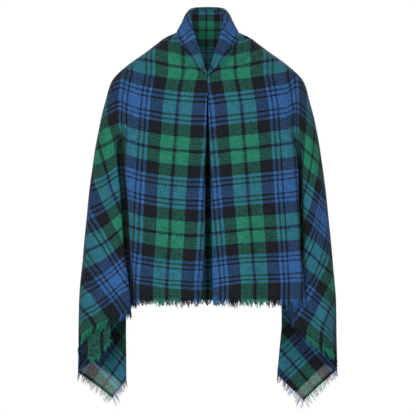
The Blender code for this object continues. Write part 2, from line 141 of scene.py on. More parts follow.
ROLL = [  # station, sideways, depth, height of the roll's top edge
    (0, 3.6, -97, -58), (1, 10, -94, -41), (2, 16, -87, -20),
    (3, 21, -78, -3), (5, 29, -63, 22), (7, 36, -45, 46),
    (8, 39.2, -31, 57), (9, 42.2, -14, 69), (10, 43.5, 5, 77),
    (12, 39, 25, 85.5), (14, 28, 39, 89.5), (17, 0, 49, 91.5)]
ARM_MIDDLE = 235    # how far out the middle of the forearm hangs
CORNER_TOP = -572
CORNER = {  # inner edge above and below, tip, heights where the hem meets the outline and the edge
    "right": {"edge_top": 187, "edge_low": 186, "tip": (218, -803),
              "at_outline": -742, "at_edge": -757},
    "left": {"edge_top": 170, "edge_low": 160, "tip": (221, -809),
             "at_outline": -736, "at_edge": -746},
}
SOFT_WALL = (0.62, 0.55)    # where the gentler wall of a valley bends, as shares of the way down it
OUTLINE = 296    # how far out the garment's outline is beside the corners
PLEAT_TOP, PLEAT_GREEN = -600, 239    # its top edge, and where a green pair's middle lies across
PLEAT_FOOT = [(7.85, -664), (8.1, -684), (8.5, -708), (9, -704), (9.5, -696)]
INSIDE_FOOT = [(7.5, 30), (9, 26), (10.5, 4), (12, -30), (14, -56), (17, -64)]

# ---- how the tartan lies on the cloth ----
COLLAR_START = [  # height of the roll, repeats from its top edge to the green pair's black line
    (89, -0.115), (52, -0.106), (32, -0.083), (12, -0.052), (-8, -0.026), (-40, -0.014)]
COLLAR_MARK = 50.2    # height at which a wide blue row crosses the roll
INSIDE_GREEN, INSIDE_REPEAT = -3.0, 104.9    # a green pair's middle across, and the repeat there
INSIDE_ROW = [  # height behind the neck, repeats up the cloth
    (-60, -0.09), (-27.5, 0.238), (-14.5, 0.381), (0, 0.496), (17.5, 0.645), (37.8, 0.81),
    (58.5, 0.975), (74.1, 1.124), (77.5, 1.141), (84, 1.198), (88, 1.235), (95, 1.30)]
ROW_DROP = {  # across, how far the rows stand above level, at the shoulders and at the hem
    "right": [(17, 5.2, 5.2), (40, 4.6, 4.6), (85.5, 0, 0), (108, -3.4, -3.4),
              (131, -7.5, -7.5), (154, -12.5, -12.5), (177, -20.5, -20.5), (200, -25, -25)],
    "left": [(5.7, 10.3, 10.3), (40, 5, 5), (74, 1.4, 1.4), (85.5, 0, 0),
             (108, -3.4, -0.7), (142.5, -10.3, -1.8), (177, -17.1, -3), (204, -24, -5.7)],
}
GREEN_MIDDLE = {  # height, how far out the first green pair's middle stands
    "right": [(-25, 58.1), (-62, 57), (-77.5, 60.4), (-112, 66.1), (-134.5, 68.4), (-169, 70.7),
              (-203, 73), (-237, 75.2), (-340, 82.5), (-431, 86), (-545, 93.9)],
    "left": [(-66, 63.8), (-134.5, 76.4), (-340, 92.3), (-545, 109.4)],
}
ROW_BASE = {"right": (581.4, 191.5), "left": (568.9, 186.5)}    # height of the lowest row, repeat
COLUMN_REPEAT = {"right": 191.5, "left": 189.2}
LEVEL_TOP, LEVEL_RUN = -84.0, 461.0    # heights between which the rows' drop changes
HEM_ROW = -0.01       # the black row runs on to the hem
FIRST_ROW = 0.31      # the lowest wide blue row's middle, in repeats above the hem
SLEEVE_BLUE = (209.8, -539.2)    # where two wide blue bands cross on the right sleeve
SLEEVE_TURN = -385.3  # above this height its columns and rows bend
SLEEVE_LAY = [  # right: shares of out and of height, repeat, and the bend's size, run and power
    (0.863, -0.506, 191.5, 0.35, 250.8, 1.8),    # across the cloth
    (0.513, 0.858, 196.1, 0.2, 307.8, 2)]        # up it
SLEEVE_ROW = {"out": 233.7, "up": -631.6, "row": 0.14, "slant": 0.85, "repeat": 227.1}    # left
GIVEN_REACH = {  # part, middle out and up, the size of o and z, their lowest and highest values
    "panel": ((110, -300), (100, 150), (-0.9, -1.75), (1.1, 1.75)),
    "sleeve": ((225, -420), (50, 150), (-0.6, -1.36), (1.0, 1.28)),
    "sleeve_right": ((225, -420), (50, 150), (-0.6, -1.12), (1.4, 1.6)),
    "sleeve_left": ((225, -420), (50, 150), (-0.6, -1.7), (1.4, 1.6)),
}
GIVEN = {  # across, then up: millimetres for 1, z, z squared, z cubed, o, o times z, o squared
    "panel": {"right": ((0, 0.7, -0.3, 0, 2.4, 0.8, -1.1), (-3.3, -0.9, 1.6, 0, -1.0, 0.8, 0)),
              "left": ((-0.1, 1.7, -0.2, 0, 2.2, 2.5, -1.7), (-4.0, -2.4, 3.0, 0, -1.1, -0.2, -1.3))},
    "sleeve": {"right": ((-1.5, -5.0, -1.5, 0, 2.0, 2.6, 1.0), (-6.1, -2.1, 3.4, 0, -0.4, -2.7, 7.4)),
               "left": ((-6.5, -3.9, 2.7, 0, -6.9, -0.1, -2.3), (8.5, 2.0, -1.4, 0, 4.7, 2.5, -1.4))},
    "sleeve_right": {"right": ((-2.8, 3.2, 0.2, 3.2, -5.7, -3.4, 7.4),
                               (0.8, -1.8, 2.2, -0.6, -4.5, 8.6, -0.9))},
    "sleeve_left": {"left": ((5.2, 0.8, -1.5, 1.2, 7.2, -3.0, -6.4),
                             (-2.8, 0.8, 0, -1.3, -3.9, -3.6, 1.0))},
}
SLEEVE_COLUMN = [  # height, where the third blue band's middle lies, repeats a millimetre (left)
    (-150, 304.5, 0.0082), (-221, 303.2, 0.0082), (-276, 299.4, 0.0081), (-362, 283.8, 0.00724),
    (-430, 265.2, 0.0060), (-497, 238.5, 0.00491), (-560, 200.7, 0.0049), (-640, 156, 0.0049)]


# ---------------------------------------------------------------- shape ----
def columns(table, column):
    """A table's first column and one other, in rising order of the first."""
    rows = sorted(table)
    return [np.array([row[k] for row in rows], float) for k in (0, column)]


def straight(table, column, at):
    """Straight lines through one column of a table, read at stations or heights."""
    return np.interp(at, *columns(table, column))


def bends(step, rise):
    """A cubic's slopes at its knots, from the runs between them and how each run rises."""
    inner = (rise[:-1] * step[1:] + rise[1:] * step[:-1]) / (step[:-1] + step[1:])
    return np.concatenate([rise[:1], inner, rise[-1:]])


def cubic(knots, step, rise, k, f):
    """The cubic through the knots, at a share f of its run k."""
    slope = bends(step, rise)
    return ((1 + 2 * f) * (1 - f) ** 2 * knots[k] + f * (1 - f) ** 2 * step[k] * slope[k]
            + f * f * (3 - 2 * f) * knots[k + 1] - f * f * (1 - f) * step[k] * slope[k + 1])


def smooth(table, column, at):
    """Cubic through one column of a table; flat beyond its ends."""
    xs, ys = columns(table, column)
    at = np.clip(np.asarray(at, float), xs[0], xs[-1])
    step = np.diff(xs)
    k = np.clip(np.searchsorted(xs, at, side="right") - 1, 0, len(step) - 1)
    return cubic(ys, step, np.diff(ys) / step, k, (at - xs[k]) / step[k])


def ease(low, high, value):
    """0 at low, 1 at high, with a soft start and end."""
    f = np.clip((np.asarray(value, float) - low) / (high - low), 0.0, 1.0)
    return f * f * (3.0 - 2.0 * f)


def depth(across, height, behind):
    """The cloth's depth at a point of its outline seen from the front."""
    half = smooth(GIRTH, 1, height)
    full = smooth(GIRTH, 3 if behind else 2, height)
    power = np.interp(height, [-300.0, -90.0], [2.8, 2.3])
    ratio = np.minimum(1.0, np.abs(across) / half)
    value = full * np.maximum(0.0, 1.0 - ratio ** power) ** (1.0 / power)
    return value if behind else -value


def ring(side, height):
    """Control points of one side's level rings, slit to the back's middle: station, height, xy."""
    height = np.atleast_1d(np.asarray(height, float))
    half = smooth(GIRTH, 1, height)
    soft = np.interp(height, [-300.0, -170.0], [1.0, 0.0])
    edge, floor, lip, sink, e_share, l_share = (smooth(VALLEY[side], k, height) for k in range(1, 7))
    start = smooth(SLIT[side], 1, height)
    b_edge, b_floor, b_lip, b_sink = (smooth(VALLEY_BACK, k, height) for k in range(1, 5))
    deep = np.minimum(1.0, sink / 40.0)

    def front(x, share=1.0):
        return np.stack([x, depth(x, height, False) * share], -1)

    def back(x, share):
        return np.stack([x, depth(x, height, True) * (1.0 - soft * (1.0 - share))], -1)

    p_edge, p_lip, p_floor = front(edge, e_share), front(lip, l_share), front(floor)
    p_floor[:, 1] = np.minimum(-6.0, p_floor[:, 1] * (1.0 - 0.16 * soft) + sink)
    steep_wall = np.stack([0.62 - 0.46 * deep, 0.55 + 0.05 * deep], -1)
    gap, shallow = np.stack([4.5 * deep, 0.0 * deep], -1), 1.0 - deep[:, None]
    if side == "right":
        p_wall = p_edge + (p_floor - p_edge) * steep_wall - gap * shallow
        s_wall = p_lip + (p_floor - p_lip) * SOFT_WALL + gap
    else:
        p_wall = p_edge + (p_floor - p_edge) * SOFT_WALL - gap
        s_wall = p_lip + (p_floor - p_lip) * steep_wall + gap * shallow
    b_out = half - 0.13 * (half - b_lip)
    p_back = back(b_floor, 0.86)
    p_back[:, 1] -= b_sink
    return np.array([
        front(start), front(start + (edge - start) * 0.36),
        front(start + (edge - start) * 0.70, 1.0 - 0.4 * (1.0 - e_share)),
        p_edge, p_wall, p_floor, s_wall, p_lip,
        front(lip + 0.48 * (half - lip), 1.0 - 0.09 * soft),
        front(half - 0.13 * (half - lip), 1.0 - 0.02 * soft),
        np.stack([half, -4.0 * soft], -1),
        back(b_out, 0.96), back(b_lip + 0.50 * (half - b_lip), 0.90), back(b_lip, 0.86), p_back,
        back(b_edge, 0.93), back(b_edge * 0.55, 0.99), back(0.0 * half, 1.0)])


def along(points, t):
    """The points at station t of smooth lines through control points (station, ..., axis)."""
    points = np.asarray(points, float)
    step = np.diff(points, axis=0)
    chord = np.maximum(np.linalg.norm(step, axis=-1, keepdims=True), 1e-6)
    k = int(min(max(math.floor(t), 0), len(points) - 2))
    return cubic(points, chord, step / chord, k, min(max(t - k, 0.0), 1.0))


def level(side, t, height):
    """Points of the level rings at one station, wearer's left positive."""
    height = np.atleast_1d(np.asarray(height, float))
    xy = along(ring(side, height), t)
    if t >= 17.0:
        xy[:, 0] = 0.0
    return np.column_stack([xy, height])


def yoke(side, t, s):
    """Points between the neck edge (s = 0) and the first level ring (s = 1)."""
    s = np.atleast_1d(np.asarray(s, float))
    nx, nz = float(smooth(NECK, 1, t)), float(smooth(NECK, 2, t))
    low = level(side, t, NECK_TOP)[0]
    bulge = smooth(GIRTH, 1, 30.0 + (NECK_TOP - 30.0) * s) - (67.0 + (222.0 - 67.0) * s)
    near = 1.0 - min(1.0, abs(t - 10.0) / (10.0 if t < 10.0 else 7.0))
    x = nx + (low[0] - nx) * s + bulge * near ** 1.5
    z = nz + (NECK_TOP - nz) * s
    y = depth(x, z, t > 10.0) if abs(t - 10.0) > 1e-6 else 0.0 * x
    return np.column_stack([x, y * (1.0 - s ** 4) + low[1] * s ** 4, z])


def spaced(table):
    """Stations along stretches, from a table of where each starts and how many it has."""
    parts = [np.linspace(a, b, count, endpoint=False) for (a, count), (b, _) in zip(table, table[1:])]
    return np.concatenate([*parts, [table[-1][0]]])


def unit(vectors):
    """The vectors at length one."""
    return vectors / np.maximum(np.linalg.norm(vectors, axis=-1, keepdims=True), 1e-9)


def outward(grid):
    """Unit normals of a grid of points, turned away from the middle of the garment."""
    n = unit(np.cross(np.gradient(grid, axis=1), np.gradient(grid, axis=0)))
    middle = grid.reshape(-1, 3).mean(axis=0) * (0.0, 0.0, 1.0)
    return n if ((grid - middle) * n).sum() > 0.0 else -n


def lengths(line):
    """How far along a line each of its points lies."""
    return np.concatenate([[0.0], np.cumsum(np.linalg.norm(np.diff(line, axis=0), axis=1))])


def flip(points):
    """The same points on the wearer's right."""
    return points * (-1.0, 1.0, 1.0)


def placed(side, points):
    """A side's points and their outward normals where they belong on the wearer."""
    n = outward(points)
    return (flip(points), flip(n)) if side == "right" else (points, n)


def joined(right, left):
    """Two halves that end at the middle of the back, joined there."""
    return np.concatenate([right, left[:, -2::-1]], axis=1)


# ---------------------------------------------------------------- tartan ----
def hemmed(v):
    """Repeats up the cloth, with the black row run on to the hem."""
    below = np.maximum(0.0, HEM_ROW - v) / 0.11
    return np.maximum(v, HEM_ROW) + 0.11 * (1.0 - np.abs(below % 2.0 - 1.0))


def given(part, side, out, up):
    """How far the hanging cloth has given across and up at a point, in o and z about its middle."""
    middle, size, low, high = GIVEN_REACH[part]
    o, z = (np.clip((k - m) / c, a, b) for k, m, c, a, b in zip((out, up), middle, size, low, high))
    terms = (1.0, z, z * z, z ** 3, o, o * z, o * o)
    return [sum(share * term for share, term in zip(row, terms)) for row in GIVEN[part][side]]


def panel_given(side, out, up):
    """Where a point of a front panel would lie if the hanging cloth had not given a little."""
    aside, risen = given("panel", side, out, up)
    if side == "right":
        risen = risen + 5.0 * ease(-500.0, -550.0, up)
    else:
        aside = aside + 1.6 * (1.0 - ease(10.0, 60.0, out))
    risen = risen - 7.0 * ease(-90.0, -25.0, up) * (1.0 - ease(60.0, 130.0, out))
    return out - aside, up - risen


def sleeve_given(side, out, up):
    """The same on a sleeve."""
    first, again = given("sleeve", side, out, up), given("sleeve_" + side, side, out, up)
    return out - first[0] - again[0], up - first[1] - again[1]


def panel_cloth(side, out, up):
    """Cloth coordinates on a front panel, from a point's distance out and its height."""
    out, up = panel_given(side, out, up)
    table, (base, rows) = ROW_DROP[side], ROW_BASE[side]
    lower = np.clip((LEVEL_TOP - up) / LEVEL_RUN, 0.0, 1.0)
    drop = straight(table, 1, out) * (1.0 - lower) + straight(table, 2, out) * lower
    middle = straight(GREEN_MIDDLE[side], 1, up)
    return 0.5 + (out - middle) / COLUMN_REPEAT[side], hemmed((up + base + drop) / rows)


def sleeve_cloth(side, out, up):
    """Cloth coordinates on a sleeve, where the cloth hangs aslant."""
    out, up = sleeve_given(side, out, up)
    if side == "right":
        high = np.maximum(0.0, up - SLEEVE_TURN)
        x, z = out - SLEEVE_BLUE[0], up - SLEEVE_BLUE[1]
        u, v = ((a * x + b * z) / repeat + size * (high / run) ** power
                for a, b, repeat, size, run, power in SLEEVE_LAY)
        return 2.0 + u, hemmed(FIRST_ROW + v)
    u = 2.0 + straight(SLEEVE_COLUMN, 2, up) * (out - smooth(SLEEVE_COLUMN, 1, up))
    lay = SLEEVE_ROW
    return u, hemmed(lay["row"] + (up - lay["up"] + lay["slant"] * (out - lay["out"])) / lay["repeat"])


def back_cloth(out, up):
    """Cloth coordinates on the back, level and even, with a green pair down the middle."""
    return 0.5 + out / SETT, (up - HEM) / SETT


def unrolled(grid, start, walls, turns):
    """Distance out and height of each point as seen from the front, but with the cloth that
    goes into a valley (walls, below the shoulders) or round the outer fold (turns) counted at
    its full length."""
    step = np.diff(grid, axis=1)
    seen, full = np.hypot(step[..., 0], step[..., 2]), np.linalg.norm(step, axis=-1)
    height = 0.5 * (grid[:, 1:, 2] + grid[:, :-1, 2])
    slope = 0.5 * (smooth(GIRTH, 1, height + 1.0) - smooth(GIRTH, 1, height - 1.0))
    size = np.hypot(1.0, slope)
    walls, turns = 0.5 * (walls[1:] + walls[:-1]), 0.5 * (turns[1:] + turns[:-1])
    walls = walls * ease(-110.0, -190.0, height)
    out = step[..., 0] + turns * (full - seen) / size
    up = step[..., 2] - turns * (full - seen) * slope / size
    out = out * (1.0 - walls) + full * walls
    both = np.stack([out, up], -1)
    both = np.concatenate([np.zeros((grid.shape[0], 1, 2)), np.cumsum(both, axis=1)], axis=1)
    return both - both[:, start:start + 1] + grid[:, start:start + 1][..., [0, 2]]


# ---------------------------------------------------------------- the main cloth ----
ROUND = spaced([  # station, how many columns from there on
    (0, 14), (0.3, 52), (3, 18), (5, 18), (7, 36), (10, 34), (14, 38), (17, 0)])
YOKE_ROWS, DROP_ROWS = 46, 176
AT = {name: int(np.argmin(np.abs(ROUND - t)))
      for name, t in (("floor", 5.0), ("crown", 8.0), ("back_floor", 14.0))}

CREASES = {  # part, from out and height, to out and height, half width, depth (minus is a trough)
    "right": [
        ("front", 12, -78, 84, -58, 8, -3.8),
        ("front", 20, -92, 96, -96, 12, 2.4),
        ("front", 40, -20, 70, -95, 7, -3.2),
        ("front", 30, -150, 24, -575, 16, -3.4),
        ("front", 62, -200, 66, -580, 18, 3.2),
        ("front", 108, -260, 118, -585, 17, -4),
        ("front", 150, -240, 152, -585, 13, 2.6),
        ("front", 176, -130, 170, -330, 11, -2.6),
        ("sleeve", 206, -150, 232, -330, 12, -4.2),
        ("sleeve", 222, -240, 206, -470, 10, 3),
        ("sleeve", 250, -250, 226, -520, 13, -3.4),
        ("sleeve", 262, -400, 226, -640, 12, 3.2),
        ("sleeve", 276, -480, 244, -690, 11, -3),
    ],
    "left": [
        ("front", 10, -76, 80, -60, 8, -3.6),
        ("yoke", 52, 24, 84, 13, 3.6, 5.4),
        ("yoke", 56, 14, 88, 2, 4.2, -4.2),
        ("yoke", 60, 4, 96, -10, 4.6, 3.4),
        ("yoke", 104, -14, 72, -44, 3.6, -6.4),
        ("yoke", 110, -22, 78, -52, 5, 3.6),
        ("front", 26, -92, 100, -100, 12, 1.8),
        ("front", 36, -140, 30, -575, 15, -3),
        ("front", 78, -220, 84, -580, 17, 3),
        ("front", 128, -250, 136, -585, 15, -3.4),
        ("front", 168, -200, 178, -585, 10, 2.6),
        ("front", 190, -130, 200, -420, 6, -1.8),
        ("sleeve", 206, -130, 240, -420, 11, -4),
        ("sleeve", 236, -260, 228, -560, 11, 3),
        ("sleeve", 258, -300, 246, -640, 12, -3.2),
        ("sleeve", 276, -460, 262, -700, 9, 2.6),
    ],
    "back": [    # across is signed here, wearer's left positive
        ("back", -6, -40, 4, -575, 20, -3),
        ("back", 48, -90, 40, -575, 17, 3),
        ("back", -52, -120, -44, -575, 18, 3.4),
        ("back", 88, -70, 84, -580, 16, -4),
        ("back", -96, -100, -100, -580, 17, -3.6),
        ("back", 132, -150, 126, -585, 15, 3),
        ("back", -140, -110, -136, -585, 15, 2.6),
        ("back", 52, -6, 128, -66, 9, -2.4),
        ("back", -60, -10, -118, -74, 8, -2.2),
    ],
    "both": [
        ("sleeve_back", 232, -180, 216, -520, 13, -3.6),
        ("sleeve_back", 250, -260, 236, -620, 12, 3.2),
        ("sleeve_back", 270, -330, 258, -690, 10, -3),
    ],
}
SHORT = {"right": 12, "left": 8}    # the sleeve's hem stops this much short of its fringe's solid
SHORT_FRONT = 9     # and the front's hem this much
SHORT_OUTER = {"right": 0, "left": 12}    # and the sleeve's hem at its outer fold
HEM_WAVE = {"right": {"front": 0.101, "start": 0.7, "sleeve": 0.067},
            "left": {"front": 0.094, "start": 2.1, "sleeve": 0.072}}
WAVES = {"front": 1.9, "back": 2.6, "sleeve": 1.6}    # how far the hems wave in and out
CURL = {"right": 10, "left": 7}    # how far in from the slit the cloth starts to turn inward
WANDER = 0.25         # how far a crease wanders, as a share of its width
LOW = -560.0          # creases that end below this height run out through the hem
UNDER_COLLAR = (7.5, 0.062, 0.032)    # the trough there: depth, place and half width down the yoke
FOLDS = [  # depth, station, half width, heights where it starts and is full
    (2.4, 10, 0.16, -300, -430), (5, 14, 0.30, -190, -300)]
PARTS = {"front": (-1.0, 4.0), "yoke": (-1.0, 10.5), "sleeve": (6.6, 10.4), "sleeve_back": (9.8, 13.8),
         "back": (12.5, 18.0)}    # stations each named part of the creases covers


def creased(side, grid, n, t, strength):
    """The grid with its soft troughs and ridges pushed along the normals."""
    out, up = grid[..., 0], grid[..., 2]
    across = -out if side == "right" else out
    push = np.zeros(out.shape)
    for part, x0, z0, x1, z1, width, height in CREASES[side] + CREASES["back"] + CREASES["both"]:
        first, last = PARTS[part]
        here = ease(first, first + 0.5, t) * (1.0 - ease(last - 0.5, last, t))
        dx, dz = x1 - x0, z1 - z0
        run = math.hypot(dx, dz)
        x = (across if part == "back" else out) - x0
        f = (x * dx + (up - z0) * dz) / run ** 2
        off = (x * dz - (up - z0) * dx) / run + WANDER * width * np.sin(f * 5.0 + x0)
        fade = ease(-0.08, 0.5, f)
        if z1 > LOW:
            fade = ease(-0.08, 0.3, f) * (1.0 - ease(0.75, 1.06, f))
        push += height * np.exp(-(off / width) ** 2) * fade * here
    hang = ease(-330.0, -600.0, up)
    front, back = 1.0 - ease(3.0, 4.0, t), ease(13.6, 15.0, t)
    sleeve = ease(7.2, 8.0, t) * (1.0 - ease(12.6, 13.6, t))
    wave = HEM_WAVE[side]
    push += hang * (WAVES["front"] * front * np.sin(out * wave["front"] + wave["start"] + 0.006 * up)
                    + WAVES["back"] * back * np.sin(across * 0.083 + 1.1 + 0.004 * up)
                    + WAVES["sleeve"] * sleeve * np.sin((out + 0.4 * up) * wave["sleeve"] + t))
    push += 0.55 * np.sin(across * 0.052 + up * 0.021) * np.sin(up * 0.035 - across * 0.017) * (
        front + sleeve + back)
    down, (deep, at, width) = np.arange(len(grid))[:, None] / YOKE_ROWS, UNDER_COLLAR
    push -= deep * np.exp(-((down - at) / width) ** 2)
    roll = CURL[side]
    inside = np.clip(1.0 - (out - smooth(SLIT[side], 1, up)) / roll, 0.0, 1.0) * (t < 1.0)
    push -= roll * (1.0 - np.sqrt(1.0 - 0.98 * inside ** 2)) * ease(-125.0, -220.0, up)
    for deep, at, width, top, low in FOLDS:
        push -= deep * ease(top, low, up) * np.exp(-((t - at) / width) ** 2)
    return grid + n * push[..., None] * strength


def cloth_grid(side, strength):
    """One half of the cloth, slit to the middle of the back, and how the tartan lies on it."""
    t = ROUND[None, :]
    yokes = np.linspace(0.0, 1.0, YOKE_ROWS, endpoint=False)
    drops = np.linspace(0.0, 1.0, DROP_ROWS)
    columns = []
    for station in ROUND:
        foot = float(straight(HEMS[side], 1, station))
        foot += SHORT[side] * float(ease(6.9, 7.7, station) * (1.0 - ease(9.2, 9.9, station)))
        foot += SHORT_FRONT * float(1.0 - ease(3.4, 4.4, station))
        foot += SHORT_OUTER[side] * float(ease(8.4, 9.4, station) * (1.0 - ease(9.9, 10.6, station)))
        columns.append(np.vstack([yoke(side, station, yokes),
                                  level(side, station, NECK_TOP + drops * (foot - NECK_TOP))]))
    grid = np.array(columns).transpose(1, 0, 2)
    n = outward(grid)
    n[:, -1] = unit(n[:, -1] * (0.0, 1.0, 1.0))

    zero = np.zeros(len(ROUND))
    panel = unrolled(grid, 0, ease(2.6, 3.3, ROUND), zero)
    turns = ease(8.7, 9.7, ROUND) * (ROUND <= 10.0) - (1.0 - ease(10.3, 11.4, ROUND)) * (ROUND > 10.0)
    sleeve = unrolled(grid, AT["crown"], 1.0 - ease(6.7, 7.3, ROUND), turns)
    above = ease(-235.0, -180.0, grid[..., 2])

    def front(place, is_sleeve):
        out, up = place[..., 0], place[..., 1]
        share = ease(176.0, 218.0, out)
        share = share + (1.0 - share) * (1.0 - above) if is_sleeve else share * above
        a, b = panel_cloth(side, out, up), sleeve_cloth(side, out, up)
        return np.stack([p * (1.0 - share) + q * share for p, q in zip(a, b)], -1)

    on_panel, on_sleeve = front(panel, False), front(sleeve, True)
    on_back = np.stack(back_cloth(grid[..., 0], grid[..., 2]), -1)
    to_back = (ease(10.3, 13.8, t) * above)[..., None]
    on_sleeve = on_sleeve * (1.0 - to_back) + on_back * to_back
    zones = [(0, AT["floor"], on_panel), (AT["floor"], AT["back_floor"], on_sleeve),
             (AT["back_floor"], len(ROUND) - 1, on_back)]
    return creased(side, grid, n, t, strength), zones


def numbers(items, key, width, kind=np.float32):
    """One property of all of a mesh's items, a row each."""
    values = np.zeros(len(items) * width, kind)
    items.foreach_get(key, values)
    return values.reshape(-1, width)


def mesh_from(bm, mesh):
    """Put what was modelled into a mesh."""
    bm.to_mesh(mesh)
    bm.free()
    return mesh


def link(name, data):
    """A new object in the scene."""
    thing = bpy.data.objects.new(name, data)
    bpy.context.scene.collection.objects.link(thing)
    return thing


def drape(name, points, zones, sizes, material, backlit=None):
    """A sheet of cloth: a grid laid on points, with its cloth coordinates, given its wall.
    Zones are the coordinates, or each stretch of columns that has its own."""
    rows, cols = points.shape[:2]
    if isinstance(zones, np.ndarray):
        zones = [(0, cols - 1, zones)]
    bm = bmesh.new()
    bmesh.ops.create_grid(bm, x_segments=cols - 1, y_segments=rows - 1, size=1.0)
    mesh = mesh_from(bm, bpy.data.meshes.new(name))
    flat = numbers(mesh.vertices, "co", 3)
    j = np.rint((flat[:, 0] + 1.0) * (cols - 1) / 2.0).astype(int)
    i = np.rint((flat[:, 1] + 1.0) * (rows - 1) / 2.0).astype(int)
    place = points[i, j] * MM
    mesh.vertices.foreach_set("co", place.astype(np.float32).ravel())
    ends = numbers(mesh.edges, "vertices", 2, np.int32)
    rim = [(k[ends] == stop).all(axis=1) for k, stop in ((i, 0), (i, rows - 1), (j, 0), (j, cols - 1))]
    mesh.attributes.new("sharp_edge", "BOOLEAN", "EDGE").data.foreach_set("value", np.any(rim, axis=0))
    corner = numbers(mesh.loops, "vertex_index", 1, np.int32)[:, 0]
    left = j[corner].reshape(-1, 4).min(axis=1).repeat(4)
    cloth = np.zeros((len(corner), 2), np.float32)
    for first, last, uv in zones:
        inside = (left >= first) & (left < last)
        cloth[inside] = uv[i[corner[inside]], j[corner[inside]]]
    mesh.uv_layers.new(name="Cloth").uv.foreach_set("vector", cloth.ravel())
    # this attribute marks where painted backlight brightens the cloth's colour
    if backlit is not None:
        mesh.attributes.new("Backlit", "FLOAT", "POINT").data.foreach_set(
            "value", backlit[i, j].astype(np.float32))
    mesh.update()
    middles = place[corner].reshape(-1, 4, 3).mean(axis=1)
    middles -= middles.mean(axis=0) * (0.0, 0.0, 1.0)
    if (middles * numbers(mesh.polygons, "normal", 3)).sum() < 0.0:
        mesh.flip_normals()
    mesh.shade_smooth()
    mesh.materials.append(material)
    piece = link(name, mesh)
    wall = piece.modifiers.new("Wall", "SOLIDIFY")
    wall.thickness, wall.offset = sizes.wall, 0.0
    return piece


# ---------------------------------------------------------------- the collar ----
COLLAR_COLUMNS = [(0, 46), (6, 34), (10, 26), (14, 16), (17, 0)]    # station, columns from there on
INSIDE_COLUMNS = [(7.5, 26), (12, 22), (17, 0)]
COLLAR_STEPS = np.concatenate([np.linspace(0.0, 3.0, 40), np.linspace(3.0, 4.0, 12)[1:]])


def rolled(t):
    """The roll's top edge at a station, and the way out from the neck there."""
    top = np.array([float(smooth(ROLL, k, t)) for k in (1, 2, 3)])
    return top, unit(top * (1.0, 1.0, 0.0))


def collar_grid(side):
    """The slit's edge rolled out round the neck, from its base on the shoulder over the top."""
    up = np.array([0.0, 0.0, 1.0])
    at, lines = spaced(COLLAR_COLUMNS), []
    for t in at:
        here = yoke(side, t, 0.015)[0]
        du = yoke(side, min(t + 0.05, 17.0), 0.015)[0] - yoke(side, max(t - 0.05, 0.0), 0.015)[0]
        n = unit(np.cross(du, yoke(side, t, 0.045)[0] - here))
        if np.dot(n, here + up * 60.0) < 0.0:
            n = -n
        top, out = rolled(t)
        base = here + n * (LIE + 0.8 * max(0.0, 1.0 - abs(t - 9.4) / 2.2))
        base -= out * 2.6 * max(0.0, 1.0 - abs(t - 9.8) / 2.4)
        belly = 0.55 * base + 0.45 * top + out * 1.2
        lines.append([base, belly, top + out * 4.0 - up * 3.5, top, top - out * 4.0 - up * 5.0])
    lines = np.array(lines).transpose(1, 0, 2)
    grid = np.array([along(lines, f) for f in COLLAR_STEPS])
    edge = int(np.argmin(np.abs(COLLAR_STEPS - 3.0)))
    top = lines[3]
    step = np.diff(grid, axis=0)
    slip = (step * unit(np.gradient(top, axis=0))).sum(-1)
    wide = np.sqrt(np.maximum((step ** 2).sum(-1) - slip ** 2, 0.0))
    wide, slip = (np.concatenate([np.zeros((1, len(at))), np.cumsum(k, axis=0)]) for k in (wide, slip))
    u = (wide[edge] - wide) / SETT + straight(COLLAR_START, 1, top[:, 2])
    path = lengths(top)
    mark = float(np.interp(COLLAR_MARK, top[:, 2], path))
    v = 3.0 + FIRST_ROW + np.where(path < mark, top[:, 2] - COLLAR_MARK, path - mark) / SETT
    place = path + slip - slip[edge]
    v = np.interp(place, path, v) + np.minimum(0.0, place) / SETT + 0.035 * ease(20.0, -20.0, top[:, 2])
    return grid, np.stack([u, v], -1)


def inside_grid():
    """The cloth turned in behind the neck, hanging down inside the collar."""
    at = np.concatenate([spaced(INSIDE_COLUMNS), [0.0]])[:-1]
    grid = []
    for q in np.linspace(0.0, 1.0, 44):
        line = []
        for t in at:
            top, out = rolled(t)
            start = top - out * 4.8 - (0.0, 0.0, 5.9)
            start[2] += q * (float(smooth(INSIDE_FOOT, 1, t)) - start[2])
            line.append(start + out * (-2.5 * min(1.0, q * 5.0) + 12.0 * q * q))
        grid.append(line)
    whole = joined(flip(np.array(grid)), np.array(grid))
    across = 0.5 + (whole[..., 0] - INSIDE_GREEN) / INSIDE_REPEAT
    uv = np.stack([across, straight(INSIDE_ROW, 1, whole[..., 2])], -1)
    return whole, uv


# ---------------------------------------------------------------- corners and pleat ----
ON_CORNER = {  # a known point and its cloth coordinates, and the way u and v run from it, a repeat long
    "right": {"at": (220.0, -722.8), "u": (-122.7, -128.0), "v": (-102.1, 151.4)},
    "left": {"at": (197.2, -704.5), "u": (-127.1, -114.4), "v": (-120.4, 136.8)},
}
CORNER_COLUMNS = [(0, 10), (1, 72), (5, 10), (6, 0)]    # station, columns from there on
# the corners' hem strips are where light through the cloth from behind is painted into its colour
STRIP = {"right": 38.0, "left": 26.0}    # width of the thin strip along the corner's hem
STRIP_END = (98.0, 104.0)    # it fades out this far along the hem from the tip


def inward(side, t, height, by):
    """A point held a set distance inside a level ring."""
    here = level(side, t, height)[0]
    step = (level(side, t + 0.02, height) - level(side, t - 0.02, height))[0]
    out = unit(np.array([-step[1], step[0], 0.0])) * by
    to_arm = (ARM_MIDDLE, 0.0, here[2]) - here
    return here + out if np.linalg.norm(to_arm - out) <= np.linalg.norm(to_arm) else here - out


def corner_line(side, height):
    """Control points of the corner's level line, from the outer side round to its inner edge."""
    c = CORNER[side]
    edge = float(np.interp(height, [-745.0, -640.0], [c["edge_low"], c["edge_top"]]))
    p0, p1 = (inward(side, t, height, LIE + 0.35)[:2] for t in (9.75, 10.15))
    span = p1[0] - edge
    return [p0, p1, (edge + span * 0.80, 33.0), (edge + span * 0.48, 46.0),
            (edge + span * 0.20, 40.0), (edge, 24.0), (edge + 7.0, 36.0)]


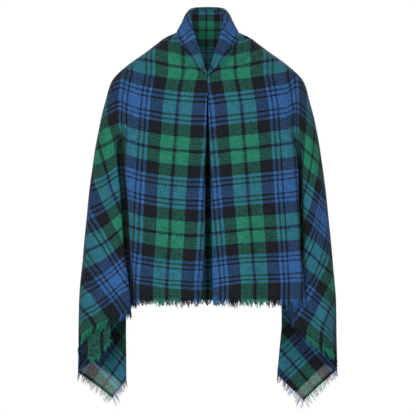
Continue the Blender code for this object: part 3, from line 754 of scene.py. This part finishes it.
def corner_foot(side, x):
    """Height of the corner's free edge under a point across."""
    c = CORNER[side]
    return float(np.interp(x, [c["edge_low"] - 2.0, c["tip"][0], OUTLINE],
                           [c["at_edge"], c["tip"][1], c["at_outline"]]))


def corner_grid(side, strength):
    """A corner of the cloth, hanging inside the sleeve's mouth, and how the tartan lies on it."""
    stations = spaced(CORNER_COLUMNS)
    low = corner_line(side, -720.0)
    across = np.array([along(low, c)[0] for c in stations])
    tip = int(np.argmin(np.abs(across - CORNER[side]["tip"][0])))
    rows = np.linspace(0.0, 1.0, 96)
    heights = np.linspace(CORNER_TOP, -812.0, 60)
    lines = np.array([corner_line(side, z) for z in heights])
    grid = []
    for c, x in zip(stations, across):
        foot = CORNER[side]["tip"][1] if c == stations[tip] else corner_foot(side, x)
        z = CORNER_TOP + rows * (foot - CORNER_TOP)
        line = along(lines.transpose(1, 0, 2), c)
        grid.append(np.column_stack([*(np.interp(-z, -heights, line[:, k]) for k in (0, 1)), z]))
    grid = np.array(grid).transpose(1, 0, 2)
    x, z = grid[..., 0], grid[..., 2]
    lay, c = ON_CORNER[side], CORNER[side]
    basis = np.linalg.inv(np.array([lay["u"], lay["v"]]))
    uv = (grid[..., [0, 2]] - lay["at"]) @ basis + (3.41, FIRST_ROW)
    uv[..., 1] = hemmed(uv[..., 1])
    end = unit(np.array([OUTLINE, c["at_outline"]]) - c["tip"])
    from_tip = grid[..., [0, 2]] - c["tip"]
    up_hem, in_from_hem = from_tip @ end, from_tip @ (-end[1], end[0])
    # painted backlight: the strip along the hem whose colour is brightened as if lit through from behind
    backlit = (1.0 - ease(STRIP[side] - 1.2, STRIP[side] + 1.2, in_from_hem)) * (
        1.0 - ease(*STRIP_END, up_hem + 0.4 * in_from_hem)) * ease(3.0, 8.0, in_from_hem)
    free = ease(0.8, 2.0, stations)[None, :] * ease(-600.0, -680.0, z)
    push = free * (2.4 * np.sin(x * 0.062 + z * 0.018) + 1.6 * np.sin(x * 0.11 - z * 0.03 + 1.0))
    grid[..., 1] += push * strength
    return grid, uv, tip, backlit


def pleat_grid():
    """The small second fold under the right sleeve's hem, and how the tartan lies on it."""
    grid = []
    for q in np.linspace(0.0, 1.0, 40):
        line = []
        for t in np.linspace(7.85, 9.5, 46):
            z = PLEAT_TOP + q * (float(straight(PLEAT_FOOT, 1, t)) - PLEAT_TOP)
            line.append(inward("right", t, z, LIE + 3.2 + 4.3 * min(1.0, max(0.0, (-612.0 - z) / 50.0))))
        grid.append(line)
    grid = np.array(grid)
    u = 2.5 + (grid[..., 0] - PLEAT_GREEN) / SETT
    v = 0.35 * (grid[..., 2] - grid[-1:, :, 2]) / SETT
    return grid, np.stack([u, v], -1)


# ---------------------------------------------------------------- fringe ----
RINGS = 5
TUFT_WIDTH = (3.5, 12.0)    # the strands stand in tufts between these widths
GATHER = 0.38         # how far a tuft draws its strands' tips together, as a share of the way


def strand_mesh():
    """One strand of fringe: a slim three-sided yarn one unit long, tapered, with bends ready."""
    bm = bmesh.new()
    bmesh.ops.create_cone(bm, cap_ends=True, segments=3, radius1=1.0, radius2=0.45, depth=1.0)
    bmesh.ops.translate(bm, verts=bm.verts, vec=(0.0, 0.0, 0.5))
    for ring in range(1, RINGS):
        bmesh.ops.bisect_plane(bm, geom=bm.verts[:] + bm.edges[:] + bm.faces[:],
                               plane_co=(0.0, 0.0, ring / RINGS), plane_no=(0.0, 0.0, 1.0))
    return mesh_from(bm, bpy.data.meshes.new("strand"))


def strands(name, count):
    """A piece of so many strands in one mesh."""
    piece = link(name, strand_mesh())
    array = piece.modifiers.new("Strands", "ARRAY")
    array.count, array.use_relative_offset = count, False
    one = piece.data
    mesh = bpy.data.meshes.new_from_object(piece.evaluated_get(bpy.context.evaluated_depsgraph_get()))
    piece.modifiers.remove(array)
    piece.data = mesh
    bpy.data.meshes.remove(one)
    return piece, mesh


def fringe(name, edge, n, yarn, sizes, seed, material, stand=0.35, lean=0.0, share=1.0, fine=1.0):
    """Strands along an edge of cloth: yarn gives the tartan's repeat at each point of the edge,
    stand how squarely they leave the edge, lean how far their tips drift along it, share their
    length and fine how much slimmer and sparser they are."""
    draw = np.random.default_rng(seed)
    path = lengths(edge)
    count = int(path[-1] / (sizes.strand_gap / MM * fine))
    place = (np.arange(count) + 0.5 + draw.uniform(-0.45, 0.45, count)) * path[-1] / count

    def read(values):
        values = np.broadcast_to(values, (len(path), *np.shape(values)[1:]))
        return np.interp(place, path, values)

    def read_rows(values):
        return np.stack([read(values[:, k]) for k in range(3)], -1)

    root, along_edge, n = read_rows(edge), unit(read_rows(np.gradient(edge, axis=0))), unit(read_rows(n))
    square = unit(np.cross(along_edge, n))
    square = np.where(square[:, 2:] > 0.0, -square, square)
    down = unit(square * stand + np.array([0.0, 0.0, -1.0]) * (1.0 - stand))
    edges = np.cumsum(draw.uniform(*TUFT_WIDTH, int(path[-1] / TUFT_WIDTH[0])))
    tuft = np.searchsorted(edges, place)
    left = np.concatenate([[0.0], edges])[tuft]
    middle = 0.5 * (left + np.minimum(edges[np.minimum(tuft, len(edges) - 1)], path[-1]))
    tufts = draw.uniform(-1.0, 1.0, (len(edges) + 1, 3))[tuft].T
    reach = 0.76 + 0.20 * tufts[0] + draw.uniform(-0.18, 0.18, count)
    reach = sizes.fringe_length / MM * read(share) * reach
    side_by = (middle - place) * GATHER + 5.0 * tufts[1] + read(lean) + draw.normal(0.0, 1.4, count)
    out_by = 1.8 * tufts[2] + draw.normal(0.0, 1.1, count)
    bend = 1.5 * tufts[2] + draw.uniform(-1.0, 1.0, count)
    thick = sizes.strand_width / MM / fine * 0.5 * draw.uniform(0.75, 1.3, count)
    repeat = read(yarn) + draw.uniform(-0.006, 0.006, count)

    piece, mesh = strands(name, count)
    co = numbers(mesh.vertices, "co", 3).reshape(count, -1, 3)
    s = co[..., 2:]
    root, down, along_edge, n = (k[:, None] for k in (root, down, along_edge, n))
    reach, side_by, out_by, bend, thick = (k[:, None, None] for k in (reach, side_by, out_by, bend, thick))
    centre = (root + down * (s * reach - 1.0) + n * out_by * s ** 1.3
              + along_edge * (side_by * s ** 1.4 + bend * np.sin(s * np.pi * 1.5)))
    whole = (centre + thick * (co[..., :1] * along_edge + co[..., 1:2] * n)) * MM
    mesh.vertices.foreach_set("co", whole.astype(np.float32).ravel())
    corner = numbers(mesh.loops, "vertex_index", 1, np.int32)[:, 0]
    uv = np.stack([repeat[corner // co.shape[1]], s.reshape(-1)[corner]], -1)
    mesh.uv_layers.new(name="Cloth").uv.foreach_set("vector", uv.astype(np.float32).ravel())
    bm = bmesh.new()
    bm.from_mesh(mesh)
    bmesh.ops.recalc_face_normals(bm, faces=bm.faces)
    mesh_from(bm, mesh)
    mesh.shade_smooth()
    mesh.materials.append(material)
    return piece


# ---------------------------------------------------------------- materials ----
THREADS = 210.0       # threads to a repeat
STRIPES = [  # colour, how far from the wide blue band's middle it ends, in half repeats
    ("blue", 0.143), ("black", 0.190), ("blue", 0.258), ("black", 0.304), ("blue", 0.372),
    ("black", 0.670), ("green", 0.960), ("black", 1.0)]


class Nodes:
    """A material's node tree, with short ways to add and join nodes."""

    def __init__(self, name):
        self.material = bpy.data.materials.new(name)
        self.material.use_nodes = True
        self.tree = self.material.node_tree
        self.shader = self.tree.nodes["Principled BSDF"]

    def put(self, socket, value):
        if isinstance(value, bpy.types.NodeSocket):
            self.tree.links.new(value, socket)
        else:
            socket.default_value = value

    def add(self, kind, output=0, inputs=None, **settings):
        node = self.tree.nodes.new(kind)
        for key, value in settings.items():
            setattr(node, key, value)
        for key, value in (inputs or {}).items():
            self.put(node.inputs[key], value)
        return node.outputs[output]

    def math(self, operation, *values, use_clamp=False):
        return self.add("ShaderNodeMath", operation=operation, use_clamp=use_clamp,
                        inputs=dict(enumerate(values)))

    def vector(self, operation, *values):
        return self.add("ShaderNodeVectorMath", operation=operation, inputs=dict(enumerate(values)))

    def parts(self, vector):
        node = self.tree.nodes.new("ShaderNodeSeparateXYZ")
        self.put(node.inputs[0], vector)
        return node.outputs

    def mix(self, factor, a, b, blend="MIX"):
        return self.add("ShaderNodeMix", output=2, data_type="RGBA", blend_type=blend,
                        inputs={0: factor, 6: a, 7: b})

    def times(self, a, b):
        return self.mix(1.0, a, b, "MULTIPLY")

    def noise(self, vector, scale, detail=2.0, rough=0.5, output=0):
        return self.add("ShaderNodeTexNoise", output, {
            "Vector": vector, "Scale": scale, "Detail": detail, "Roughness": rough})

    def finish(self, colour, rough, bump=None):
        """Join the colour and the surface; a bump, as strength, distance and height, is for cloth."""
        self.put(self.shader.inputs["Base Color"], colour)
        self.shader.inputs["Roughness"].default_value = rough
        if bump:
            self.put(self.shader.inputs["Normal"], self.add("ShaderNodeBump", inputs=dict(
                zip(("Strength", "Distance", "Height"), bump))))
            self.shader.inputs["Specular IOR Level"].default_value = 0.08
            self.shader.inputs["Sheen Weight"].default_value = 0.04
            self.shader.inputs["Sheen Roughness"].default_value = 0.45
        return self.material


def sett(nodes, repeat, look):
    """The tartan's stripes for one set of threads, mirrored about the wide blue band."""
    folded = nodes.math("MULTIPLY", nodes.math("PINGPONG", repeat, 0.5), 2.0)
    ramp = nodes.tree.nodes.new("ShaderNodeValToRGB")
    ramp.color_ramp.interpolation = "CONSTANT"
    nodes.put(ramp.inputs[0], folded)
    stops = ramp.color_ramp.elements
    start = 0.0
    for k, (colour, end) in enumerate(STRIPES):
        stop = stops[k] if k < 2 else stops.new(start)
        stop.position, stop.color = start, (*getattr(look, colour), 1.0)
        start = end
    return ramp.outputs[0]


def woven(name, look, backlit=False):
    """Twill tartan: warp and weft stripes crossing thread by thread, brushed and a little uneven.
    Where the corner's hem strip is marked, light shining through the open weave from behind is painted into
    the colour."""
    nodes = Nodes(name)
    uv = place = nodes.add("ShaderNodeUVMap", uv_map="Cloth")
    for scale, detail, rough, size in ((9.0, 3.0, 0.6, 0.010), (160.0, 1.0, 0.5, 0.012)):
        drift = nodes.noise(uv, scale, detail, rough, output=1)
        drift = nodes.vector("MULTIPLY_ADD", drift, (size, size, 0.0), (-size / 2.0, -size / 2.0, 0.0))
        place = nodes.vector("ADD", place, drift)
    u, v, _ = nodes.parts(place)
    across, up = (nodes.math("MULTIPLY", k, THREADS) for k in (u, v))
    thread, pick = nodes.math("FLOOR", across), nodes.math("FLOOR", up)
    warp, weft = (
        nodes.times(sett(nodes, repeat, look), nodes.math("MULTIPLY_ADD", nodes.add(
            "ShaderNodeTexWhiteNoise", noise_dimensions="1D", inputs={"W": one}), 0.32, 0.84))
        for repeat, one in ((u, thread), (nodes.math("SUBTRACT", v, FIRST_ROW), pick)))
    mottle = nodes.noise(uv, 72.0, 2.0, 0.8)
    over = nodes.math("LESS_THAN", nodes.math("FLOORED_MODULO", nodes.math("ADD", thread, pick), 4.0), 2.0)
    shown = nodes.math("MULTIPLY_ADD", over, 0.24, 0.38)
    shown = nodes.math("ADD", shown, nodes.math("MULTIPLY_ADD", mottle, 2.6, -1.3), use_clamp=True)
    rest = nodes.math("SUBTRACT", 1.0, shown)
    blended = nodes.times(*(nodes.add("ShaderNodeGamma", inputs={"Color": tint, "Gamma": share})
                            for tint, share in ((warp, shown), (weft, rest))))
    colour = nodes.mix(0.62, nodes.mix(shown, weft, warp), blended)

    down, along_row = (nodes.noise(nodes.vector("MULTIPLY", uv, (*stretch, 1.0)), 1.0, 1.0)
                       for stretch in ((110.0, 12.0), (12.0, 110.0)))
    streak = nodes.math("MULTIPLY_ADD", down, 1.2, along_row)
    shade = nodes.math("MULTIPLY_ADD", nodes.noise(uv, 120.0, 1.0, 0.6), 1.2, streak)
    colour = nodes.times(colour, nodes.math("SUBTRACT", shade, 0.70))
    lint = nodes.math("MULTIPLY_ADD", nodes.noise(uv, 85.0, 1.0, 0.7), 0.36, -0.180, use_clamp=True)
    pale = (*look.pale, 1.0)
    colour = nodes.mix(lint, colour, pale)
    # painted light: along the corners' hems the colour is tripled and paled, in patches, in place of light
    # shining through the thin weave
    if backlit:
        strip = nodes.add("ShaderNodeAttribute", output=2, attribute_name="Backlit")
        speck = nodes.math("MULTIPLY_ADD", nodes.noise(uv, 62.0, 2.0, 0.8), 7.0, -2.75, use_clamp=True)
        light = nodes.mix(0.38, nodes.times(colour, (3.0, 3.0, 3.0, 1.0)), pale)
        colour = nodes.mix(nodes.math("MULTIPLY", strip, speck), colour, light)
    ridge = nodes.mix(over, *(nodes.math("ABSOLUTE", nodes.math("SINE", nodes.math("MULTIPLY", k, math.pi)))
                              for k in (up, across)))
    return nodes.finish(colour, 0.88, (0.55, 0.0005, nodes.math("MULTIPLY_ADD", mottle, 1.2, ridge)))


def yarn(name, look, tip_glow=0.0):
    """Loose ends of the yarn, in the stripe's colour, or with painted light paling them towards their tips.
    """
    nodes = Nodes(name)
    repeat, to_tip, _ = nodes.parts(nodes.add("ShaderNodeUVMap", uv_map="Cloth"))
    place = nodes.add("ShaderNodeTexCoord", output=3)
    tone = nodes.math("MULTIPLY_ADD", nodes.noise(place, 420.0, 3.0, 0.7), 1.5, 0.45)
    colour = nodes.times(sett(nodes, repeat, look), tone)
    # painted light: the tips are mixed towards pale grey, as the bright backdrop would light them round
    # their edges
    if tip_glow:
        tip = nodes.math("MULTIPLY_ADD", to_tip, 0.7, nodes.noise(place, 260.0))
        colour = nodes.mix(nodes.math("MULTIPLY", tip, tip_glow), colour, (0.62, 0.62, 0.60, 1.0))
    return nodes.finish(colour, 0.85, (0.5, 0.0003, nodes.noise(place, 2600.0)))


def plain(name, colour, rough):
    """A plain backdrop finish."""
    nodes = Nodes(name)
    tint = nodes.noise(nodes.add("ShaderNodeTexCoord", output=3), 3.0)
    return nodes.finish(nodes.mix(tint, (*colour, 1.0), (*(c * 0.98 for c in colour), 1.0)), rough)


# ---------------------------------------------------------------- settings ----
class PonchoSizes(bpy.types.PropertyGroup):
    """Sizes that a user would change."""

    wall: bpy.props.FloatProperty(
        name="Cloth thickness", description="Thickness of the brushed cloth",
        default=0.0016, min=0.0005, max=0.003, unit="LENGTH")
    crease: bpy.props.FloatProperty(
        name="Creases", description="How deep the creases are, as a share of their own depths",
        default=1.0, min=0.0, max=1.5, subtype="FACTOR")
    fringe_length: bpy.props.FloatProperty(
        name="Fringe length", description="Reach of the longer strands beyond the hem",
        default=0.0155, min=0.002, max=0.03, unit="LENGTH")
    strand_gap: bpy.props.FloatProperty(
        name="Strand spacing", description="Distance between strands along the hem",
        default=0.00085, min=0.0005, max=0.01, unit="LENGTH")
    strand_width: bpy.props.FloatProperty(
        name="Strand width", description="Width of one strand of fringe",
        default=0.0015, min=0.0002, max=0.003, unit="LENGTH")


class PonchoLook(bpy.types.PropertyGroup):
    """Colours that a user would change."""

    blue: bpy.props.FloatVectorProperty(
        name="Blue", description="Blue yarn", subtype="COLOR", size=3, min=0.0, max=1.0,
        default=(0.0205, 0.086, 0.242))
    black: bpy.props.FloatVectorProperty(
        name="Black", description="Near-black yarn", subtype="COLOR", size=3, min=0.0, max=1.0,
        default=(0.0034, 0.0050, 0.0076))
    green: bpy.props.FloatVectorProperty(
        name="Green", description="Green yarn", subtype="COLOR", size=3, min=0.0, max=1.0,
        default=(0.0105, 0.143, 0.086))
    # painted light: the pale colour that the strip by the corners' hems is painted towards, in place of
    # light through the weave; the lint flecks are mixed towards it too
    pale: bpy.props.FloatVectorProperty(
        name="Thin cloth", description="Light through the open weave by the hems", subtype="COLOR",
        size=3, min=0.0, max=1.0, default=(0.30, 0.30, 0.29))
    floor: bpy.props.FloatVectorProperty(
        name="Floor", description="Pale floor", subtype="COLOR", size=3, min=0.0, max=1.0,
        default=(0.86, 0.86, 0.86))


laid = {}             # what the operators share: materials


def finishes():
    """The cloth's materials, made once."""
    look = bpy.context.scene.poncho_look
    if not laid:
        laid["tartan"] = woven("brushed_twill_tartan", look)
        # the corners' cloth, with backlight painted along its hems
        laid["corner"] = woven("tartan_with_painted_backlit_hem", look, backlit=True)
        laid["yarn"] = yarn("loose_yarn", look)
        # the corners' fringe, with light painted into its tips
        laid["pale_yarn"] = yarn("loose_yarn_painted_pale_tips", look, tip_glow=0.36)
    return laid


def seat(piece, slot, *nodes):
    """Fix a piece to the one body, in the place of its CAD nodes."""
    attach(piece, "root")
    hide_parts(*nodes)


# ---------------------------------------------------------------- operators ----
class PONCHO_OT_cloth(bpy.types.Operator):
    """Build the cloth: each front with its sleeve, the back, and the fringe along their hems"""

    bl_idname = "poncho.cloth"
    bl_label = "Cloth"

    def execute(self, context):
        sizes, made = context.scene.poncho_sizes, finishes()
        cut = AT["back_floor"]
        t, front, backs = ROUND[:cut + 1], slice(0, cut + 1), []
        for side in ("right", "left"):
            points, zones = cloth_grid(side, sizes.crease)
            points, n = placed(side, points)
            backs.append([points[:, cut:], n[:, cut:], zones[-1][2][:, cut:]])
            hem_yarn = np.where(np.arange(cut + 1) < AT["floor"], zones[0][2][-1, front, 0],
                                zones[1][2][-1, front, 0])
            piece = drape("cloth_" + side, points[:, front], zones[:2], sizes, made["tartan"])
            seat(piece, "tartan", "front_" + side, f"sleeve_{side}_front", f"sleeve_{side}_back")
            share = 0.85 + 0.60 * ease(6.8, 7.6, t) * (1.0 - ease(9.6, 10.4, t))
            share = share + 0.60 * (1.0 - ease(3.4, 4.4, t))
            if side == "left":
                share = share + 0.10 * ease(150.0, 168.0, points[-1, front, 0]) * (t < 4.1)
                share = share - 0.55 * ease(4.1, 4.5, t) * (1.0 - ease(6.2, 6.8, t))
                hem_yarn = np.where((t > 3.4) & (t < 6.9), 2.0 + 0.14 * np.sin(t * 8.0), hem_yarn)
            lean = 0.8 + 6.5 * ease(7.4, 8.0, t) * (1.0 - ease(9.6, 10.2, t))
            ends = fringe("fringe_" + side, points[-1, front], n[-1, front], hem_yarn, sizes,
                          SEEDS[side], made["yarn"], lean=lean, share=share)
            seat(ends, "fringe", "fringe_front_" + side, "fringe_sleeve_" + side)
        points, n, uv = (joined(right, left) for right, left in zip(*backs))
        piece = drape("cloth_back", points, uv, sizes, made["tartan"])
        seat(piece, "tartan", "back")
        ends = fringe("fringe_back_hem", points[-1], n[-1], uv[-1, :, 0], sizes, SEEDS["back"], made["yarn"])
        seat(ends, "fringe", "fringe_back")
        return {"FINISHED"}


class PONCHO_OT_collar(bpy.types.Operator):
    """Build the rolled collar and the cloth turned in behind the neck"""

    bl_idname = "poncho.collar"
    bl_label = "Collar"

    def execute(self, context):
        sizes, made = context.scene.poncho_sizes, finishes()
        (right, right_uv), (left, left_uv) = collar_grid("right"), collar_grid("left")
        roll = drape("collar", joined(flip(right), left), joined(right_uv, left_uv), sizes, made["tartan"])
        seat(roll, "tartan", "collar_left", "collar_right", "collar_back")
        inner = drape("collar_inside_cloth", *inside_grid(), sizes, made["tartan"])
        seat(inner, "tartan", "collar_inside")
        return {"FINISHED"}


class PONCHO_OT_corners(bpy.types.Operator):
    """Build the hanging corners and their fringe"""

    bl_idname = "poncho.corners"
    bl_label = "Corners"

    def execute(self, context):
        sizes, made = context.scene.poncho_sizes, finishes()
        for side in ("right", "left"):
            points, uv, tip, backlit = corner_grid(side, sizes.crease)
            points, n = placed(side, points)
            piece = drape("corner_cloth_" + side, points, uv, sizes, made["corner"], backlit)
            seat(piece, "tartan", "corner_" + side)
            to_tip = np.abs(points[-1, :, 0] - points[-1, tip, 0])
            share = 1.25 + 0.55 * np.exp(-(to_tip / 12.0) ** 2)
            edges = []
            for k, (name, part, stand, fine) in enumerate((("hem", slice(0, tip + 1), 0.8, 1.3),
                                                           ("side", slice(tip, -8), 0.5, 1.1))):
                edges.append(fringe(f"fringe_{name}_corner_{side}", points[-1, part], n[-1, part],
                                    uv[-1, part, k], sizes, SEEDS["corner_" + side] + k,
                                    made["pale_yarn"], stand=stand, share=share[part], fine=fine))
                seat(edges[-1], "fringe", "fringe_corner_" + side)
        return {"FINISHED"}


class PONCHO_OT_pleat(bpy.types.Operator):
    """Build the small second fold under the right sleeve's hem"""

    bl_idname = "poncho.pleat"
    bl_label = "Pleat"

    def execute(self, context):
        sizes, made = context.scene.poncho_sizes, finishes()
        points, uv = pleat_grid()
        points, n = placed("right", points)
        piece = drape("pleat_cloth", points, uv, sizes, made["tartan"])
        seat(piece, "tartan", "pleat_right")
        ends = fringe("fringe_pleat", points[-1], n[-1], uv[-1, :, 0], sizes, SEEDS["pleat"], made["yarn"])
        seat(ends, "fringe", "fringe_pleat_right")
        return {"FINISHED"}


class PONCHO_OT_stage(bpy.types.Operator):
    """Set the pale floor, the soft light and the camera"""

    bl_idname = "poncho.stage"
    bl_label = "Stage"

    def execute(self, context):
        scene, look = context.scene, context.scene.poncho_look
        bm = bmesh.new()
        bmesh.ops.create_circle(bm, cap_ends=True, segments=96, radius=2.5)
        bmesh.ops.translate(bm, verts=bm.verts, vec=(0.0, 0.0, FLOOR_HEIGHT))
        floor = link("floor", mesh_from(bm, bpy.data.meshes.new("floor")))
        floor.data.materials.append(plain("pale_floor", look.floor, 0.8))

        world = bpy.data.worlds.new("white_studio")
        world.use_nodes = True
        tree = world.node_tree
        tree.nodes["Background"].inputs[0].default_value = (1.0, 1.0, 1.0, 1.0)
        way, parted = tree.nodes.new("ShaderNodeTexCoord"), tree.nodes.new("ShaderNodeSeparateXYZ")
        sky, dim = tree.nodes.new("ShaderNodeMapRange"), tree.nodes.new("ShaderNodeMapRange")
        path = tree.nodes.new("ShaderNodeLightPath")
        tree.links.new(way.outputs["Generated"], parted.inputs[0])
        tree.links.new(parted.outputs["Z"], sky.inputs["Value"])
        for node, key, value in ((sky, "From Min", -0.5), (sky, "From Max", 0.4),
                                 (sky, "To Min", AMBIENT_LOW), (sky, "To Max", AMBIENT)):
            node.inputs[key].default_value = value
        tree.links.new(sky.outputs[0], dim.inputs["To Min"])
        tree.links.new(path.outputs["Is Camera Ray"], dim.inputs["Value"])
        tree.links.new(dim.outputs[0], tree.nodes["Background"].inputs[1])
        scene.world = world
        scene.view_settings.view_transform = "Standard"

        for name, place, size, power in LAMPS:
            lamp = bpy.data.lights.new(name, "AREA")
            lamp.shape, lamp.size, lamp.energy = "DISK", size, power
            holder = link(name, lamp)
            holder.location = place
            aim = Vector((0.0, 0.0, EYE[2])) - Vector(place)
            holder.rotation_euler = aim.to_track_quat("-Z", "Y").to_euler()

        view = bpy.data.cameras.new("camera")
        view.type, view.lens, view.sensor_width = "PERSP", LENS, 36.0
        view.clip_end = 50.0
        camera = scene.camera = link("camera", view)
        camera.location = EYE
        camera.rotation_euler = (math.pi / 2.0, 0.0, 0.0)
        return {"FINISHED"}


SEEDS = {"right": 11, "left": 12, "back": 13, "corner_right": 21, "corner_left": 23, "pleat": 31}
FLOOR_HEIGHT = -1.38
EYE, LENS = (0.001, -8.0, -0.369), 303.8    # the camera's place and focal length
AMBIENT, AMBIENT_LOW = 0.38, 0.10    # how strongly the white surroundings light the cloth
LAMPS = [  # name, place, width, power
    ("key_light", (-1.6, -4.0, 0.2), 1.6, 84.0),
    ("fill_light", (2.2, -4.0, 0.2), 2.0, 26.0),
    ("low_light", (1.2, -4.2, -1.1), 1.2, 20.0),
    ("neck_light", (-0.5, -4.3, 1.75), 0.5, 84.0),
    ("top_light", (0.0, -0.4, 2.8), 1.8, 15.0),
    ("back_light", (0.4, 3.6, 1.2), 2.5, 130.0),
]
OPERATORS = [PONCHO_OT_cloth, PONCHO_OT_collar, PONCHO_OT_corners, PONCHO_OT_pleat, PONCHO_OT_stage]


class PONCHO_PT_panel(bpy.types.Panel):
    """Lists the poncho's settings and the steps that build it"""

    bl_idname = "PONCHO_PT_panel"
    bl_label = "Tartan poncho"
    bl_space_type = "VIEW_3D"
    bl_region_type = "UI"
    bl_category = "Poncho"

    def draw(self, context):
        for group in (context.scene.poncho_sizes, context.scene.poncho_look):
            for name in group.__annotations__:
                self.layout.prop(group, name)
        for step in OPERATORS:
            self.layout.operator(step.bl_idname)


CLASSES = [PonchoSizes, PonchoLook, *OPERATORS, PONCHO_PT_panel]


def register():
    for kind in CLASSES:
        bpy.utils.register_class(kind)
    bpy.types.Scene.poncho_sizes = bpy.props.PointerProperty(type=PonchoSizes)
    bpy.types.Scene.poncho_look = bpy.props.PointerProperty(type=PonchoLook)


def unregister():
    del bpy.types.Scene.poncho_look
    del bpy.types.Scene.poncho_sizes
    for kind in reversed(CLASSES):
        bpy.utils.unregister_class(kind)


def main():
    register()
    bpy.ops.poncho.cloth()
    bpy.ops.poncho.collar()
    bpy.ops.poncho.corners()
    bpy.ops.poncho.pleat()
    bpy.ops.poncho.stage()
    bpy.context.view_layer.update()


if __name__ == "__main__":
    main()
